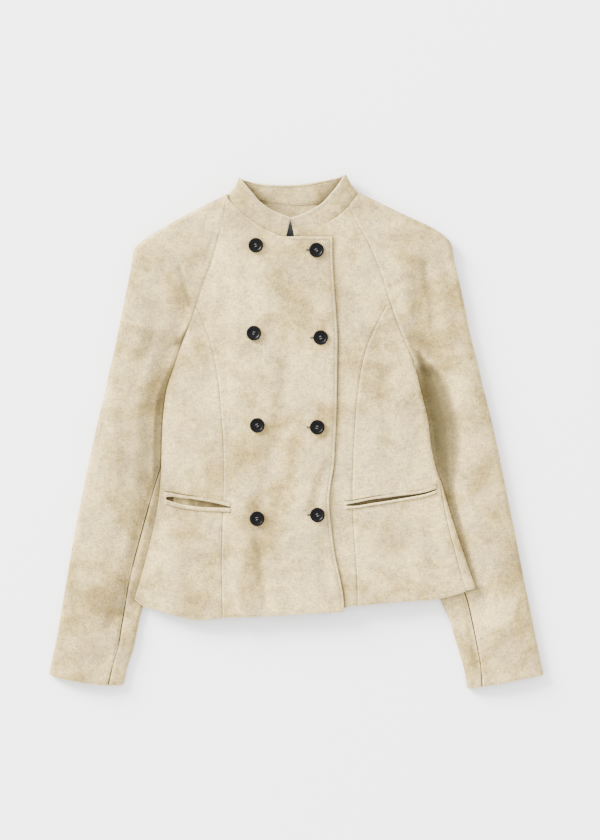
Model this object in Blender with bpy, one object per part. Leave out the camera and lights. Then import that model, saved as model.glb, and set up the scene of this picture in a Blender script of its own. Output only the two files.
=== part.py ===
"""A cropped, double-breasted leather jacket with raglan sleeves, laid flat on its back.

The frame: +X to the wearer's left, +Y towards the collar, +Z up from the surface that
the jacket lies on. Tables and functions work in millimetres, and only mesh_object()
turns them into metres. "Right" and "left" are the wearer's: right lies at -X.

The jacket is a set of flattened tubes. Each tube has a top layer, a bottom layer and
round folds where the two meet, and each cut piece is a wall over its share of a tube.
The body lies on the inner edges of both sleeves.
"""
import math

import bmesh
import bpy
import numpy as np
from mathutils import Matrix, Vector

# ---------------------------------------------------------------- driving dimensions, mm
MM = 0.001
WALL = 1.5              # leather with its backing
SEAM = 0.4              # gap between pieces that are sewn edge to edge
LAY = 0.4               # gap under a piece that lies on another
LAP_LIFT = 2.6          # the right front rides this much higher, over the left one
RIGHT, LEFT = -1, 1     # sign of x on each side

FOLD_ROUND = 7.0        # plan depth of the body's round side fold
FOLD_ARC = 10.0         # length of a quarter of that fold
ARMHOLE_CLOSE = 20.0    # length over which the armhole closes at the underarm
SLEEVE_ROUND = 5.0      # plan depth of the sleeve's inner fold
BODY_ON_SLEEVE = 8.6    # the body's underside where it lies on a sleeve
SLEEVE_UNDER_BODY = 7.2  # the sleeve's height there
DROP_LENGTH = 22.0      # a sleeve drops under the body within this length
ARMHOLE_REACH = 75.0    # the back lies on the surface again this far above the underarm
LIFT_MARGIN = 4.0       # past a hidden sleeve the back stays lifted this far
LIFT_SLOPE = 34.0       # and comes down over this length
CROWN_FROM = 6.0        # a sleeve starts to swell this far outside the body
CROWN_FULL = 36.0       # and is at its full height here
HEM_CLEARANCE = 40.0    # past the body's hem it swells over this length
PAST_HEM = ((200, 250), (-256, -234))  # the line where that starts: x from the middle, y
SLEEVE_LOW_SLOPE = 45.0  # a sleeve's underside comes down to the surface over this length
OUTER_ROUND = 7.0       # plan depth of a sleeve's outer fold, or less on a narrow stretch
OUTER_SHARE = 0.8
CENTRE_BACK = -5.0
PLAN_MIDDLE = (-0.25, 0.73, 0.0)  # middle of the outline in the tables' plan

SHEET = 1.0             # lining and facings
INNER_EDGE_GAP = 0.1    # the welts are drawn in by this at each end
FADE_WIDTHS = 1.5       # a fold fades out over this many of its widths
SHARP_EDGE = math.radians(50)

BUTTON_RADIUS = 10.0
BUTTON_THICK = 3.6
BUTTON_RIM = 1.9        # width of the raised rim
BUTTON_DISH = 1.1       # how far the middle lies below the rim
BUTTON_HOLE = 1.1       # radius of a thread hole
HOLE_SPREAD = 2.0       # its distance from the button's middle
BUTTON_REST = 0.35      # gap under a button at the highest point that it lies on

# ---------------------------------------------------------------- outline tables, mm
# x of the body's side at each y: the raglan seam above the underarm, the fold below it
SIDE = {
    RIGHT: dict(
        y=(330, 316.5, 284, 255.5, 228.5, 200.5, 173.5, 150.5, 130, 111, 87, 60, 30,
           -10, -50, -87, -132, -191, -225.5, -260),
        x=(-90.5, -93.5, -100, -107, -115, -125.5, -134.5, -142.5, -151, -157.5, -165.5,
           -174.5, -179, -181.5, -182.5, -185.5, -193.5, -208.5, -218.5, -228)),
    LEFT: dict(
        y=(330, 305, 280.5, 255.5, 224.5, 200, 177.5, 159.5, 120.5, 92.5, 57, 16.5,
           -22.5, -51, -67, -91.5, -132, -165.5, -190, -210.5, -250),
        x=(58, 70.5, 82.5, 96.5, 110, 119, 125.5, 131.5, 147, 159, 168, 177.5,
           182.5, 189.5, 195, 202.5, 215, 226.5, 235, 242, 255)),
}
UNDERARM = {RIGHT: 130.0, LEFT: 92.5}

# x of the princess seam at each y, from the hem to the raglan seam
PRINCESS = {
    RIGHT: dict(y=(-251, -176, -107, -60, -10, 30, 60, 90, 115, 137, 155, 168.5),
                x=(-100, -101, -99.5, -98, -99, -102, -104.5, -109, -114.5, -121.5,
                   -128.5, -134)),
    LEFT: dict(y=(-234, -205, -168, -125, -87, -37, 16.5, 54.5, 88, 115, 137, 155, 173),
               x=(82, 81.5, 79.5, 76.5, 75, 76, 79, 82.5, 87.5, 94.5, 103.5, 112.5,
                  122.5)),
}
PRINCESS_TOP = {RIGHT: 166.0, LEFT: 172.0}

# x of the lap's free edge and of the hidden edge under it, at each y
LAP_EDGE = dict(y=(-242, -223, -202, -162, -132, -109, -87, -69, -47, -15, 16, 54, 92,
                   137, 160, 201, 242, 263.5),
                x=(64.5, 63.5, 60, 51.5, 47.5, 45, 44.5, 46.5, 50, 52, 53.5, 54.5, 55,
                   55, 53.5, 50.5, 48.5, 48.5))
UNDERLAP_X = -76.0

# y of the hem at each x: over the lap and under it
HEM = {
    RIGHT: dict(x=(-218.5, -208, -180, -160, -142, -131, -100, -47, 0, 41, 64.5),
                y=(-225.5, -233, -242, -248, -252.5, -253.5, -251, -248.5, -246, -243.5,
                   -242)),
    LEFT: dict(x=(-76, 65, 82, 137, 194, 214, 226, 242),
               y=(-242, -236.5, -234.5, -229, -224, -219, -215, -210.5)),
}
BACK_HEM_SHORT = 3.0    # the back's hem lies this much further in
HEM_MIDDLE_Y = -246.0
FREE_END = {RIGHT: -1, LEFT: 0}  # the end of the hem and neck tables at the free edge
SIDE_END = {RIGHT: 0, LEFT: -1}  # and the end at the side

# y of the neck edge at each x on the two fronts and on the back
NECK = {
    RIGHT: dict(x=(-93.5, -87, -74, -60, -45, -31, -16.5, 0, 48.5),
                y=(316.5, 309.5, 296.5, 285.5, 275.5, 269, 264, 263.7, 263.5)),
    LEFT: dict(x=(-76, -3.5, 3.5, 15.5, 29, 46, 56, 70.5),
               y=(260.5, 263, 264.5, 268.5, 275.5, 285.5, 292, 305)),
}
BACK_NECK_Y = 308.0

# where the side seam runs, as a length round the fold: + on the front, - underneath
SIDE_SEAM = {
    RIGHT: dict(y=(-260, -100, 60, 130), s=(-12, -12, -12, 0)),
    LEFT: dict(y=(-250, -215, -185, -149, -113, -81, -50, 0, 92.5),
               s=(18, 17.5, 16.3, 13.4, 10.5, 6.6, 0, -3, 0)),
}

# height of the crown along the middle, and of the sides measured from the underarm
CROWN = dict(y=(-260, -200, -120, 0, 120, 220, 300, 330),
             z=(16.5, 18.5, 22, 24, 27, 27, 26, 25.5))
SIDE_HEIGHT = dict(e=(-400, -330, -250, 0, 60, 120, 190, 240),
                   z=(15.5, 16, 16.8, 16.8, 18.5, 21, 23.5, 24))
CROWN_POWER = 2.4

# the sleeves, a row for each section from the neck to the cuff: inner and outer edge
SLEEVE = {
    RIGHT: dict(
        ix=(-94.0, -100.0, -107.0, -115.0, -125.5, -134.5, -142.5, -151, -155.3, -159.6,
            -158, -152, -149, -147.5, -151.5, -162.5, -180, -199, -207.5, -214.5, -220,
            -227.5, -234.5),
        iy=(316.5, 284, 255.5, 228.5, 200.5, 173.5, 150.5, 130, 122, 108, 88, 57,
            27.5, -10.5, -48, -95.5, -149.5, -204.5, -234.5, -262.5, -291, -314, -342),
        ox=(-96.5, -135.5, -170.5, -200.5, -219.0, -224, -230, -236, -238.5, -242, -246.5,
            -253, -259.5, -268, -277.5, -286.5, -297.5, -307, -313.5, -319, -324, -329.5,
            -335),
        oy=(321, 301, 282, 264.5, 248.5, 222, 192, 162.5, 150, 133, 110, 84,
            52, 19.5, -24, -67, -121, -175, -213, -245, -275, -300.5, -328)),
    LEFT: dict(
        ix=(70.5, 82.5, 90.5, 101, 110, 119, 125.5, 137.5, 148, 159, 163, 166.5, 164, 156,
            146.5, 142.5, 145.5, 156, 173.5, 194.5, 206, 218.5, 226.5, 231.5),
        iy=(305, 280.5, 266.5, 246, 224.5, 200, 177.5, 145, 119.5, 92.5, 84.5, 71, 50, 22,
            -4, -34.5, -71, -121, -175, -225.5, -252, -291.5, -319.5, -347.5),
        ox=(84, 119.5, 153.5, 186, 208, 214, 221, 229, 235.5, 243, 246, 249.5, 253, 257.5,
            263.5, 269.5, 277, 287, 298.5, 309.5, 315.5, 323.5, 329.5, 334.5),
        oy=(323.5, 307, 291, 275.5, 257.5, 230.5, 201.5, 164, 131.5, 102, 91, 76, 60,
            43.5, 19.5, -7.5, -42.5, -92.5, -149.5, -206, -234.5, -275, -302.5, -328)),
}
UNDERARM_ROW = {RIGHT: 7, LEFT: 9}
PRINCESS_ROW = {RIGHT: 5.3, LEFT: 6.18}
# along a sleeve, by its length: 0 the neck, 1 the underarm row, 2 the cuff
SLEEVE_FORM = dict(
    l=(0, 0.15, 0.3, 0.6, 1.0, 1.2, 1.5, 1.8, 2.0),
    outer_mid=(12, 9, 7.5, 6, 5, 5, 4.8, 4.6, 4.4),
    outer_top=(21, 17, 14.5, 12, 10.5, 10, 9.5, 9, 8.5),
    crown=(0, 1.0, 2.0, 3.5, 6, 8.5, 8.5, 7.0, 5.5))
SEAM_FROM_FOLD = dict(l=(1, 1.1, 1.2, 1.33, 1.45, 1.55, 1.7, 1.85, 2),
                      s=(0, 1, 5, 18, 30, 36, 35, 26, 19.5))
CUFF_BOW = {RIGHT: 4.0, LEFT: 0.5}  # the cuff's edge bows down by this
CUFF_BOW_ROWS = 4.0
CUFF_LEAN = 0.2

# the largest folds: soft troughs (-) and ridges (+) from one end to the other
BODY_FOLDS = [
    dict(ends=((-15, 110), (-45, -245)), wide=20, high=-1.6),
    dict(ends=((-78, -150), (-70, -255)), wide=15, high=1.8),
    dict(ends=((-48, -150), (-42, -255)), wide=13, high=-1.8),
    dict(ends=((150, -120), (165, -225)), wide=18, high=-2.0),
    dict(ends=((112, -130), (112, -230)), wide=18, high=1.4),
    dict(ends=((-150, -130), (-165, -245)), wide=16, high=1.6),
    dict(ends=((135, -10), (95, 60)), wide=20, high=-1.5),
    dict(ends=((-150, -10), (-115, 50)), wide=20, high=-1.5),
]
SLEEVE_FOLDS = [
    dict(ends=((-172, 235), (-200, 160)), wide=18, high=-2.2),
    dict(ends=((-185, 55), (-235, -40)), wide=20, high=-2.0),
    dict(ends=((-255, 10), (-275, -70)), wide=16, high=1.8),
    dict(ends=((-215, -110), (-270, -190)), wide=18, high=-1.6),
    dict(ends=((160, 215), (195, 90)), wide=18, high=-2.6),
    dict(ends=((215, 40), (232, -60)), wide=18, high=1.8),
    dict(ends=((205, -20), (235, -140)), wide=18, high=-1.8),
    dict(ends=((275, -110), (300, -210)), wide=16, high=1.4),
]

# the collar, a row for each station from the right front end round the back to the left
COLLAR = dict(
    bx=(-13.5, -31, -45, -60, -73.5, -84.5, -91, -95.5, -93, -84, -45, -8.5, 34.5, 66,
        77.5, 84, 80.5, 69.8, 56, 46, 29, 15.5, 3.5, -3.0),
    by=(264.8, 269.8, 276.3, 286.6, 297.8, 309, 316.5, 322.5, 321, 318, 313.6, 310, 309.8,
        310.5, 318, 327, 321.5, 307.6, 293.8, 286.8, 276.8, 270.3, 266.3, 265.3),
    tx=(-8, -23.5, -35.5, -49.5, -60.5, -69.5, -75, -76.5, -75, -68, -45, -9, 19.5,
        50, 61, 65.5, 64, 53, 36, 22.5, 13, 5, -2.5, -8.5),
    ty=(289, 295, 300.5, 311, 324, 334.5, 341.5, 344, 343, 340.5, 336, 334.5, 337.5,
        343, 346.5, 348, 345.5, 329.5, 310, 301, 296, 292.5, 290.5, 288.5),
    front=(1, 1, 1, 1, 1, 0.97, 0.85, 0.5, 0.14, 0.03, 0, 0, 0, 0.03, 0.14, 0.5, 0.86,
           1, 1, 1, 1, 1, 1, 1),
    rise=(2.0, 2.2, 2.5, 3, 3.2, 3, 2, 0.5, 1, 2.5, 4, 4.5, 4, 2.5, 1, 0.5, 2, 3, 2.8,
          2.2, 1.6, 1.0, 0.4, 0.2))
COLLAR_THICK = 2.0
COLLAR_BACK_Z = 2.2     # height of its middle where it lies on the back
COLLAR_COLUMNS = 47
BACK_STATION = 7.5      # the stations before this one lie on the right front
NECK_TOP_Y = 320.0      # the fronts' height is read no further up than this
NECK_FACING = dict(x=(-72, 55), low=285.5, below_collar=2.5)
NECK_STATIONS = slice(9, 14)
BACK_LINING = dict(x=(-45, 35), low=225.0, high=285.0)

# the pockets, a row for each place along the mouth: seam, mouth and seam
POCKET = {
    RIGHT: dict(x=(-179, -168, -154.5, -141, -128, -111, -98, -86.5),
                top=(-78.5, -80, -82.5, -84.6, -86.5, -89.7, -92, -94.3),
                mouth_top=(-87.6, -86.6, -88.4, -89.7, -91.7, -94.8, -97.8, -101),
                mouth_low=(-89.6, -93.2, -97, -99, -100.6, -101.3, -101.6, -102),
                bottom=(-95.5, -99.5, -102.8, -104.6, -106, -107, -107.4, -107.8)),
    LEFT: dict(x=(64, 80, 101, 122.5, 138.5, 157.5, 176, 191),
               top=(-92, -90, -86, -82.8, -80.8, -78.5, -75, -69),
               mouth_top=(-97.8, -95, -91, -88.3, -86, -83.6, -80, -75.2),
               mouth_low=(-98.8, -98, -94.6, -91.4, -88.8, -86, -82.6, -77.2),
               bottom=(-104, -102.5, -99.4, -95.8, -93.4, -90.4, -86.8, -82)),
}
WELT = dict(thick=1.1, swell=0.6)
POCKET_MARGIN = 9.0     # the facing reaches this far past the mouth's edges
POCKET_DROOP = 2.5      # and sags by this
FACING_SHORT = 6.0      # it ends this far inside the mouth's outer end
FACING_GAP = 0.7        # under the front
MOUTH_FLOOR, MOUTH_ROOF = 13.2, 45.0  # heights between which the mouth is cut

BUTTONS = [  # name, x, y
    ("button_right_1", -54.5, 251.5), ("button_right_2", -57.0, 133.5),
    ("button_right_3", -52.7, 9.5), ("button_right_4", -53.0, -116.0),
    ("button_left_1", 27.0, 245.0), ("button_left_2", 32.5, 127.5),
    ("button_left_3", 28.0, 7.0), ("button_left_4", 28.5, -111.0),
]

CREAM = (0.66, 0.58, 0.44)
CREAM_INSIDE = (0.62, 0.55, 0.42)
LINING = (0.035, 0.035, 0.045)
HORN = (0.012, 0.014, 0.02)
LEATHER_ROUGH, HORN_ROUGH = 0.55, 0.3


# ---------------------------------------------------------------- small maths
def smooth(low, high, value):
    """0 up to low, 1 from high on, and an S curve between."""
    t = np.clip((value - low) / (high - low), 0.0, 1.0)
    return t * t * (3.0 - 2.0 * t)


def through(xs, ys, at):
    """A smooth curve through the points (xs, ys), read at `at` (cubic Hermite spans)."""
    xs, ys = np.asarray(xs, float), np.asarray(ys, float)
    if xs[0] > xs[-1]:
        xs, ys = xs[::-1], ys[::-1]
    span = np.diff(xs)
    rise = np.diff(ys) / span
    slope = np.concatenate((
        [rise[0]],
        (span[:-1] * rise[1:] + span[1:] * rise[:-1]) / (span[:-1] + span[1:]),
        [rise[-1]]))
    at = np.clip(np.asarray(at, float), xs[0], xs[-1])
    i = np.clip(np.searchsorted(xs, at) - 1, 0, len(span) - 1)
    h, t = span[i], (at - xs[i]) / span[i]
    return ((1 + 2 * t) * (1 - t) ** 2 * ys[i] + t * (1 - t) ** 2 * h * slope[i]
            + t * t * (3 - 2 * t) * ys[i + 1] - t * t * (1 - t) * h * slope[i + 1])


def arch(m):
    """A quarter circle's rise: 0 at 0 and 1 from 1 on."""
    return np.sqrt(1.0 - (1.0 - np.clip(m, 0.0, 1.0)) ** 2)


def relief(folds, x, y):
    """Sum of soft folds: a bell across each line, faded towards its two ends."""
    total = np.zeros(np.broadcast(x, y).shape)
    for fold in folds:
        (x0, y0), (x1, y1) = fold["ends"]
        length = math.hypot(x1 - x0, y1 - y0)
        ux, uy = (x1 - x0) / length, (y1 - y0) / length
        along = (x - x0) * ux + (y - y0) * uy
        across = (x - x0) * uy - (y - y0) * ux
        end = fold["wide"] * FADE_WIDTHS
        fade = smooth(-end, end, along) * smooth(-end, end, length - along)
        total = total + fold["high"] * fade * np.exp(-(across / fold["wide"]) ** 2)
    return total


# ---------------------------------------------------------------- the body's two layers
def side_x(side, y):
    return through(SIDE[side]["y"], SIDE[side]["x"], y)


def front_height(x, y):
    """Top layer: a crown in the middle that falls to the two sides."""
    right, left = side_x(RIGHT, y), side_x(LEFT, y)
    across = np.clip((2 * x - right - left) / (left - right), -1.0, 1.0)
    crown = through(CROWN["y"], CROWN["z"], y)
    side_z = np.where(
        across < 0,
        through(SIDE_HEIGHT["e"], SIDE_HEIGHT["z"], y - UNDERARM[RIGHT]),
        through(SIDE_HEIGHT["e"], SIDE_HEIGHT["z"], y - UNDERARM[LEFT]))
    flat = 1.0 - np.abs(across) ** CROWN_POWER
    return side_z + (crown - side_z) * flat + relief(BODY_FOLDS, x, y) * flat


def lap_height(x, y):
    """The right front's height: it climbs over the left front's hidden edge."""
    return front_height(x, y) + LAP_LIFT * smooth(-97.0, -78.0, x)


def hidden_width(side, y):
    """How far a sleeve reaches under the body, from the body's side."""
    rows = SLEEVE[side]
    first = UNDERARM_ROW[side]
    inner = through(rows["iy"][first:], rows["ix"][first:], y)
    return np.maximum(0.0, side * (side_x(side, y) - inner)) * (y < UNDERARM[side])


def back_height(side, inside, y):
    """Underside of the back: flat on the surface, lifted where it lies on a sleeve."""
    above = np.maximum(0.0, y - UNDERARM[side])
    lift = BODY_ON_SLEEVE * (1.0 - smooth(0.0, ARMHOLE_REACH, above))
    start = hidden_width(side, y) + LIFT_MARGIN
    return lift * (1.0 - smooth(start, start + LIFT_SLOPE, inside))


def side_middle(side, y):
    """Height of the side fold's outermost line."""
    above = np.maximum(0.0, y - UNDERARM[side])
    low = BODY_ON_SLEEVE * (1.0 - smooth(0.0, ARMHOLE_REACH, above))
    high = through(SIDE_HEIGHT["e"], SIDE_HEIGHT["z"], y - UNDERARM[side])
    return (low + high) / 2


def body_tube(side, s, y):
    """A point of the body's tube: s runs from the side fold, + over the front, - under."""
    s, y = np.broadcast_arrays(np.asarray(s, float), np.asarray(y, float))
    angle = np.minimum(np.abs(s) / FOLD_ARC, 1.0) * math.pi / 2
    inside = FOLD_ROUND * (1.0 - np.cos(angle)) + np.maximum(np.abs(s) - FOLD_ARC, 0.0)
    x = side_x(side, y) - side * inside
    above = np.maximum(0.0, y - UNDERARM[side])
    round_off = arch(inside / FOLD_ROUND + above / ARMHOLE_CLOSE)
    middle = side_middle(side, y)
    top = front_height(x, y)
    bottom = back_height(side, inside, y)
    z = np.where(s >= 0, middle + (top - middle) * round_off,
                 middle - (middle - bottom) * round_off)
    return np.stack((x, y, z), axis=-1)


def tube_s(side, x, y):
    """The s of a plan point that lies further in than the round fold."""
    return side * (side_x(side, y) - x) - FOLD_ROUND + FOLD_ARC


# ---------------------------------------------------------------- the sleeve's tube
def sleeve_row(side, row, name):
    table = SLEEVE[side][name]
    return through(range(len(table)), table, row)


def sleeve_length(side, row):
    """0 at the neck, 1 at the underarm, 2 at the cuff."""
    first, last = UNDERARM_ROW[side], len(SLEEVE[side]["ix"]) - 1
    return np.where(row < first, row / first, 1.0 + (row - first) / (last - first))


def sleeve_plan(side, row, turn):
    """A point's x and y, its row's inner y, its share of the way across, and the width."""
    across = (1.0 - np.cos(math.pi * turn)) / 2
    ix, iy, ox, oy = (sleeve_row(side, row, n) for n in ("ix", "iy", "ox", "oy"))
    ix = np.where(row <= UNDERARM_ROW[side], side_x(side, iy), ix)
    last = len(SLEEVE[side]["ix"]) - 1
    bow = (CUFF_BOW[side] * smooth(last - CUFF_BOW_ROWS, last, row)
           * 4 * across * (1 - across))
    x = ix + (ox - ix) * across + side * CUFF_LEAN * bow
    y = iy + (oy - iy) * across - bow
    return x, y, iy, across, np.hypot(ox - ix, oy - iy)


def sleeve_inner_edge(side, row, iy):
    """Top, bottom and middle height of the inner edge, which dives under the body."""
    on_body = row <= UNDERARM_ROW[side]
    below = np.maximum(0.0, UNDERARM[side] - iy) * (~on_body)
    drop = smooth(0.0, DROP_LENGTH, below)
    edge_y = np.where(on_body, iy, UNDERARM[side])
    edge_x = side_x(side, edge_y)
    top = front_height(edge_x, edge_y) * (1 - drop) + SLEEVE_UNDER_BODY * drop
    low = back_height(side, 0.0, edge_y) * (1 - drop)
    middle = side_middle(side, edge_y) * (1 - drop) + SLEEVE_UNDER_BODY / 2 * drop
    return top, low, middle


def sleeve_tube(side, row, turn):
    """A point of a sleeve. turn: 0 inner edge, 0 to 1 over the top, 1 to 2 underneath."""
    row, turn = np.broadcast_arrays(np.asarray(row, float), np.asarray(turn, float))
    x, y, iy, across, width = sleeve_plan(side, row, turn)
    inner_top, inner_low, inner_mid = sleeve_inner_edge(side, row, iy)
    length = sleeve_length(side, row)
    outer_mid, outer_top, crown = (through(SLEEVE_FORM["l"], SLEEVE_FORM[name], length)
                                   for name in ("outer_mid", "outer_top", "crown"))
    past_hem = smooth(0.0, HEM_CLEARANCE, np.interp(side * x, *PAST_HEM) - y)
    outside = side * (x - side_x(side, y))
    clear_of_body = np.maximum(smooth(CROWN_FROM, CROWN_FULL, outside), past_hem)
    swell = 4 * across * (1 - across)
    top = (inner_top + (outer_top - inner_top) * smooth(0.0, 1.0, across)
           + (crown * swell ** 0.8 + relief(SLEEVE_FOLDS, x, y) * swell) * clear_of_body)
    low = inner_low * (1.0 - smooth(0.0, SLEEVE_LOW_SLOPE, across * width))
    middle = inner_mid + (outer_mid - inner_mid) * smooth(0.0, 0.6, across)
    above = np.maximum(0.0, iy - UNDERARM[side]) * (row <= UNDERARM_ROW[side])
    inner_fold = arch(across * width / SLEEVE_ROUND + above / ARMHOLE_CLOSE)
    outer_fold = arch((1 - across) * width / np.minimum(OUTER_ROUND, OUTER_SHARE * width))
    full = inner_fold * outer_fold
    over = (turn <= 1.0) | (turn > 2.0)
    z = np.where(over, middle + (top - middle) * full, middle - (middle - low) * full)
    return np.stack((x, y, z), axis=-1)


def seam_turn(side, row):
    """Where the sleeve's underarm seam runs, as a turn on the top layer."""
    ix, iy, ox, oy = (sleeve_row(side, row, n) for n in ("ix", "iy", "ox", "oy"))
    across = through(SEAM_FROM_FOLD["l"], SEAM_FROM_FOLD["s"],
                     sleeve_length(side, row)) / np.hypot(ox - ix, oy - iy)
    return np.where(row <= UNDERARM_ROW[side], 0.0, np.arccos(1 - 2 * across) / math.pi)


# ---------------------------------------------------------------- walls and meshes
def normals(surface, a, b, step=0.02):
    """Unit normals of surface(a, b), by central differences."""
    along = surface(a + step, b) - surface(a - step, b)
    across = surface(a, b + step) - surface(a, b - step)
    n = np.cross(along, across)
    return n / np.linalg.norm(n, axis=-1, keepdims=True)


def pull_in(points, amount):
    """Draw the four borders of a grid in towards the next row and column."""
    out = points.copy()
    for edge, inner in ((0, 1), (-1, -2)):
        for axis in (0, 1):
            border, next_in = np.take(out, edge, axis), np.take(out, inner, axis)
            way = next_in - border
            way = way / np.linalg.norm(way, axis=-1, keepdims=True)
            if axis == 0:
                out[edge] = border + way * amount
            else:
                out[:, edge] = border + way * amount
    return out


def dress(piece, colour, roughness):
    """Give a piece a material of its own."""
    material = bpy.data.materials.new(piece.name)
    material.use_nodes = True
    shader = material.node_tree.nodes["Principled BSDF"]
    shader.inputs["Base Color"].default_value = (*colour, 1.0)
    shader.inputs["Roughness"].default_value = roughness
    piece.data.materials.append(material)


def face_outwards(shape):
    """Turn a closed bmesh's faces the same way, and out."""
    bmesh.ops.recalc_face_normals(shape, faces=shape.faces)
    if shape.calc_volume(signed=True) < 0:
        bmesh.ops.reverse_faces(shape, faces=shape.faces)


def new_object(name, mesh):
    piece = bpy.data.objects.new(name, mesh)
    bpy.context.collection.objects.link(piece)
    return piece


def mesh_object(name, vertices, faces, colour, roughness):
    """A named object with its own material, from points in millimetres."""
    mesh = bpy.data.meshes.new(name)
    placed = (np.asarray(vertices) - PLAN_MIDDLE) * MM
    mesh.from_pydata([tuple(v) for v in placed], [], faces)
    shape = bmesh.new()
    shape.from_mesh(mesh)
    face_outwards(shape)
    shape.to_mesh(mesh)
    shape.free()
    mesh.shade_smooth()
    mesh.set_sharp_from_angle(angle=SHARP_EDGE)
    piece = new_object(name, mesh)
    dress(piece, colour, roughness)
    return piece


def wall(name, outer, inner, colour):
    """A closed wall between two grids of points with the same rows and columns."""
    rows, cols = outer.shape[:2]
    count = rows * cols
    ids = np.arange(count).reshape(rows, cols)
    faces = []
    for sheet in (ids, ids + count):
        faces += [tuple(q) for q in np.stack(
            (sheet[:-1, :-1], sheet[1:, :-1], sheet[1:, 1:], sheet[:-1, 1:]),
            axis=-1).reshape(-1, 4).tolist()]
    ring = np.concatenate((ids[0, :-1], ids[:-1, -1], ids[-1, :0:-1], ids[:0:-1, 0]))
    after = np.roll(ring, -1)
    faces += [tuple(q) for q in np.stack(
        (ring, after, after + count, ring + count), axis=-1).tolist()]
    vertices = np.concatenate((outer.reshape(-1, 3), inner.reshape(-1, 3)))
    return mesh_object(name, vertices, faces, colour, LEATHER_ROUGH)


def skin(name, surface, a, b, outward):
    """A leather wall inside surface(a, b); outward is a point on its outer side."""
    outer = surface(a, b)
    n = normals(surface, a, b)
    facing = np.sum(n * (np.asarray(outward, float) - outer), axis=-1)
    n = n * np.where(np.median(facing) < 0, -1.0, 1.0)
    inner = outer - n * WALL
    return wall(name, pull_in(outer, SEAM / 2), pull_in(inner, SEAM / 2), CREAM)


def coons(bottom, top, start, end):
    """Plan grid between four border curves, each an array of points."""
    v = np.linspace(0, 1, len(start))[:, None, None]
    u = np.linspace(0, 1, len(bottom))[None, :, None]
    ruled = (1 - v) * bottom[None] + v * top[None]
    across = (1 - u) * start[:, None] + u * end[:, None]
    corners = ((1 - v) * ((1 - u) * bottom[0] + u * bottom[-1])
               + v * ((1 - u) * top[0] + u * top[-1]))
    return ruled + across - corners


def height_field(height):
    """A surface over plan points, for skin()."""
    def surface(x, y):
        return np.stack((x, y, height(x, y)), axis=-1)
    return surface


# ---------------------------------------------------------------- rows shared at seams
HEM_ROWS = 10
FRONT_COLUMNS, SIDE_COLUMNS, BACK_COLUMNS = 10, 11, 12
ABOVE, BELOW = (0, 0, 500), (0, 0, -500)  # points outside the top and bottom layers
TINY = 1e-4             # keeps two seam edges on their own sides


def raglan_levels(side):
    """Sleeve rows along the raglan seam: neck to princess seam, then to the underarm."""
    upper = np.linspace(0, PRINCESS_ROW[side], 8)
    lower = np.linspace(PRINCESS_ROW[side], UNDERARM_ROW[side], 5)
    return upper, lower


def seam_y(side, rows):
    return sleeve_row(side, rows, "iy")


def princess_levels(side):
    """y of the rows along the princess seam, from the hem to its top."""
    _, lower = raglan_levels(side)
    hem = PRINCESS[side]["y"][0]
    return np.linspace(hem, PRINCESS_TOP[side], HEM_ROWS + len(lower) - 1)


def princess_points(side):
    y = princess_levels(side)
    return np.stack((through(PRINCESS[side]["y"], PRINCESS[side]["x"], y), y), axis=-1)


def raglan_points(side):
    """From the top of the princess seam up to the neck, in plan."""
    upper, _ = raglan_levels(side)
    y = seam_y(side, upper)[::-1]
    return np.stack((side_x(side, y), y), axis=-1)


# ---------------------------------------------------------------- the fronts and back
def plan_curve(table, x, first):
    """Plan points along a table of y at x, which start exactly at `first`."""
    points = np.stack((x, through(table["x"], table["y"], x)), axis=-1)
    points[0] = first
    return points


def front(side, name, edge_x, height):
    outer = np.concatenate((princess_points(side), raglan_points(side)))
    hem_end = edge_x(HEM[side]["y"][FREE_END[side]])
    hem = plan_curve(HEM[side], np.linspace(outer[0, 0], hem_end, FRONT_COLUMNS), outer[0])
    neck_end = NECK[side]["x"][FREE_END[side]]
    neck = plan_curve(NECK[side], np.linspace(outer[-1, 0], neck_end, FRONT_COLUMNS),
                      outer[-1])
    edge_y = np.linspace(hem[-1, 1], neck[-1, 1], len(outer))
    edge = np.stack((edge_x(edge_y), edge_y), axis=-1)
    edge[0], edge[-1] = hem[-1], neck[-1]
    plan = coons(hem, neck, outer, edge)
    return skin(name, height_field(height), plan[..., 0], plan[..., 1], ABOVE)


def lap_x(y):
    return through(LAP_EDGE["y"], LAP_EDGE["x"], y)


def underlap_x(y):
    return np.full(np.shape(y), UNDERLAP_X)


def spread(columns, power):
    """Steps from 0 to 1, closest together at the side fold."""
    return np.linspace(0, 1, columns)[None, :] ** power


def side_rows(side, raglan_rows):
    """y of the rows up the side seam and the armhole, and the seam's place on the tube."""
    corner = HEM[side]["y"][SIDE_END[side]]
    y = np.concatenate((np.linspace(corner, UNDERARM[side], HEM_ROWS),
                        seam_y(side, raglan_rows)[1:]))
    seam = through(SIDE_SEAM[side]["y"], SIDE_SEAM[side]["s"], y)
    return y, np.where(y <= UNDERARM[side], seam, 0.0)


def bend_hem(side, s, y, short, end_y):
    """Move the rows near the hem so that the lowest one follows the hem's curve."""
    x = body_tube(side, s[0], y[0])[:, 0]
    hem_y = through(HEM[side]["x"], HEM[side]["y"], x)
    inside = side * (side_x(side, hem_y) - x)
    hem_y = hem_y + short * smooth(4.0, 30.0, inside)
    share = (s[0] - s[0, 0]) / (s[0, -1] - s[0, 0])
    hem_y = hem_y + (end_y - hem_y[-1]) * share ** 4
    fade = np.linspace(1, 0, len(y))[:, None] ** 3
    return y + fade * (hem_y - y[0])[None, :]


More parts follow.
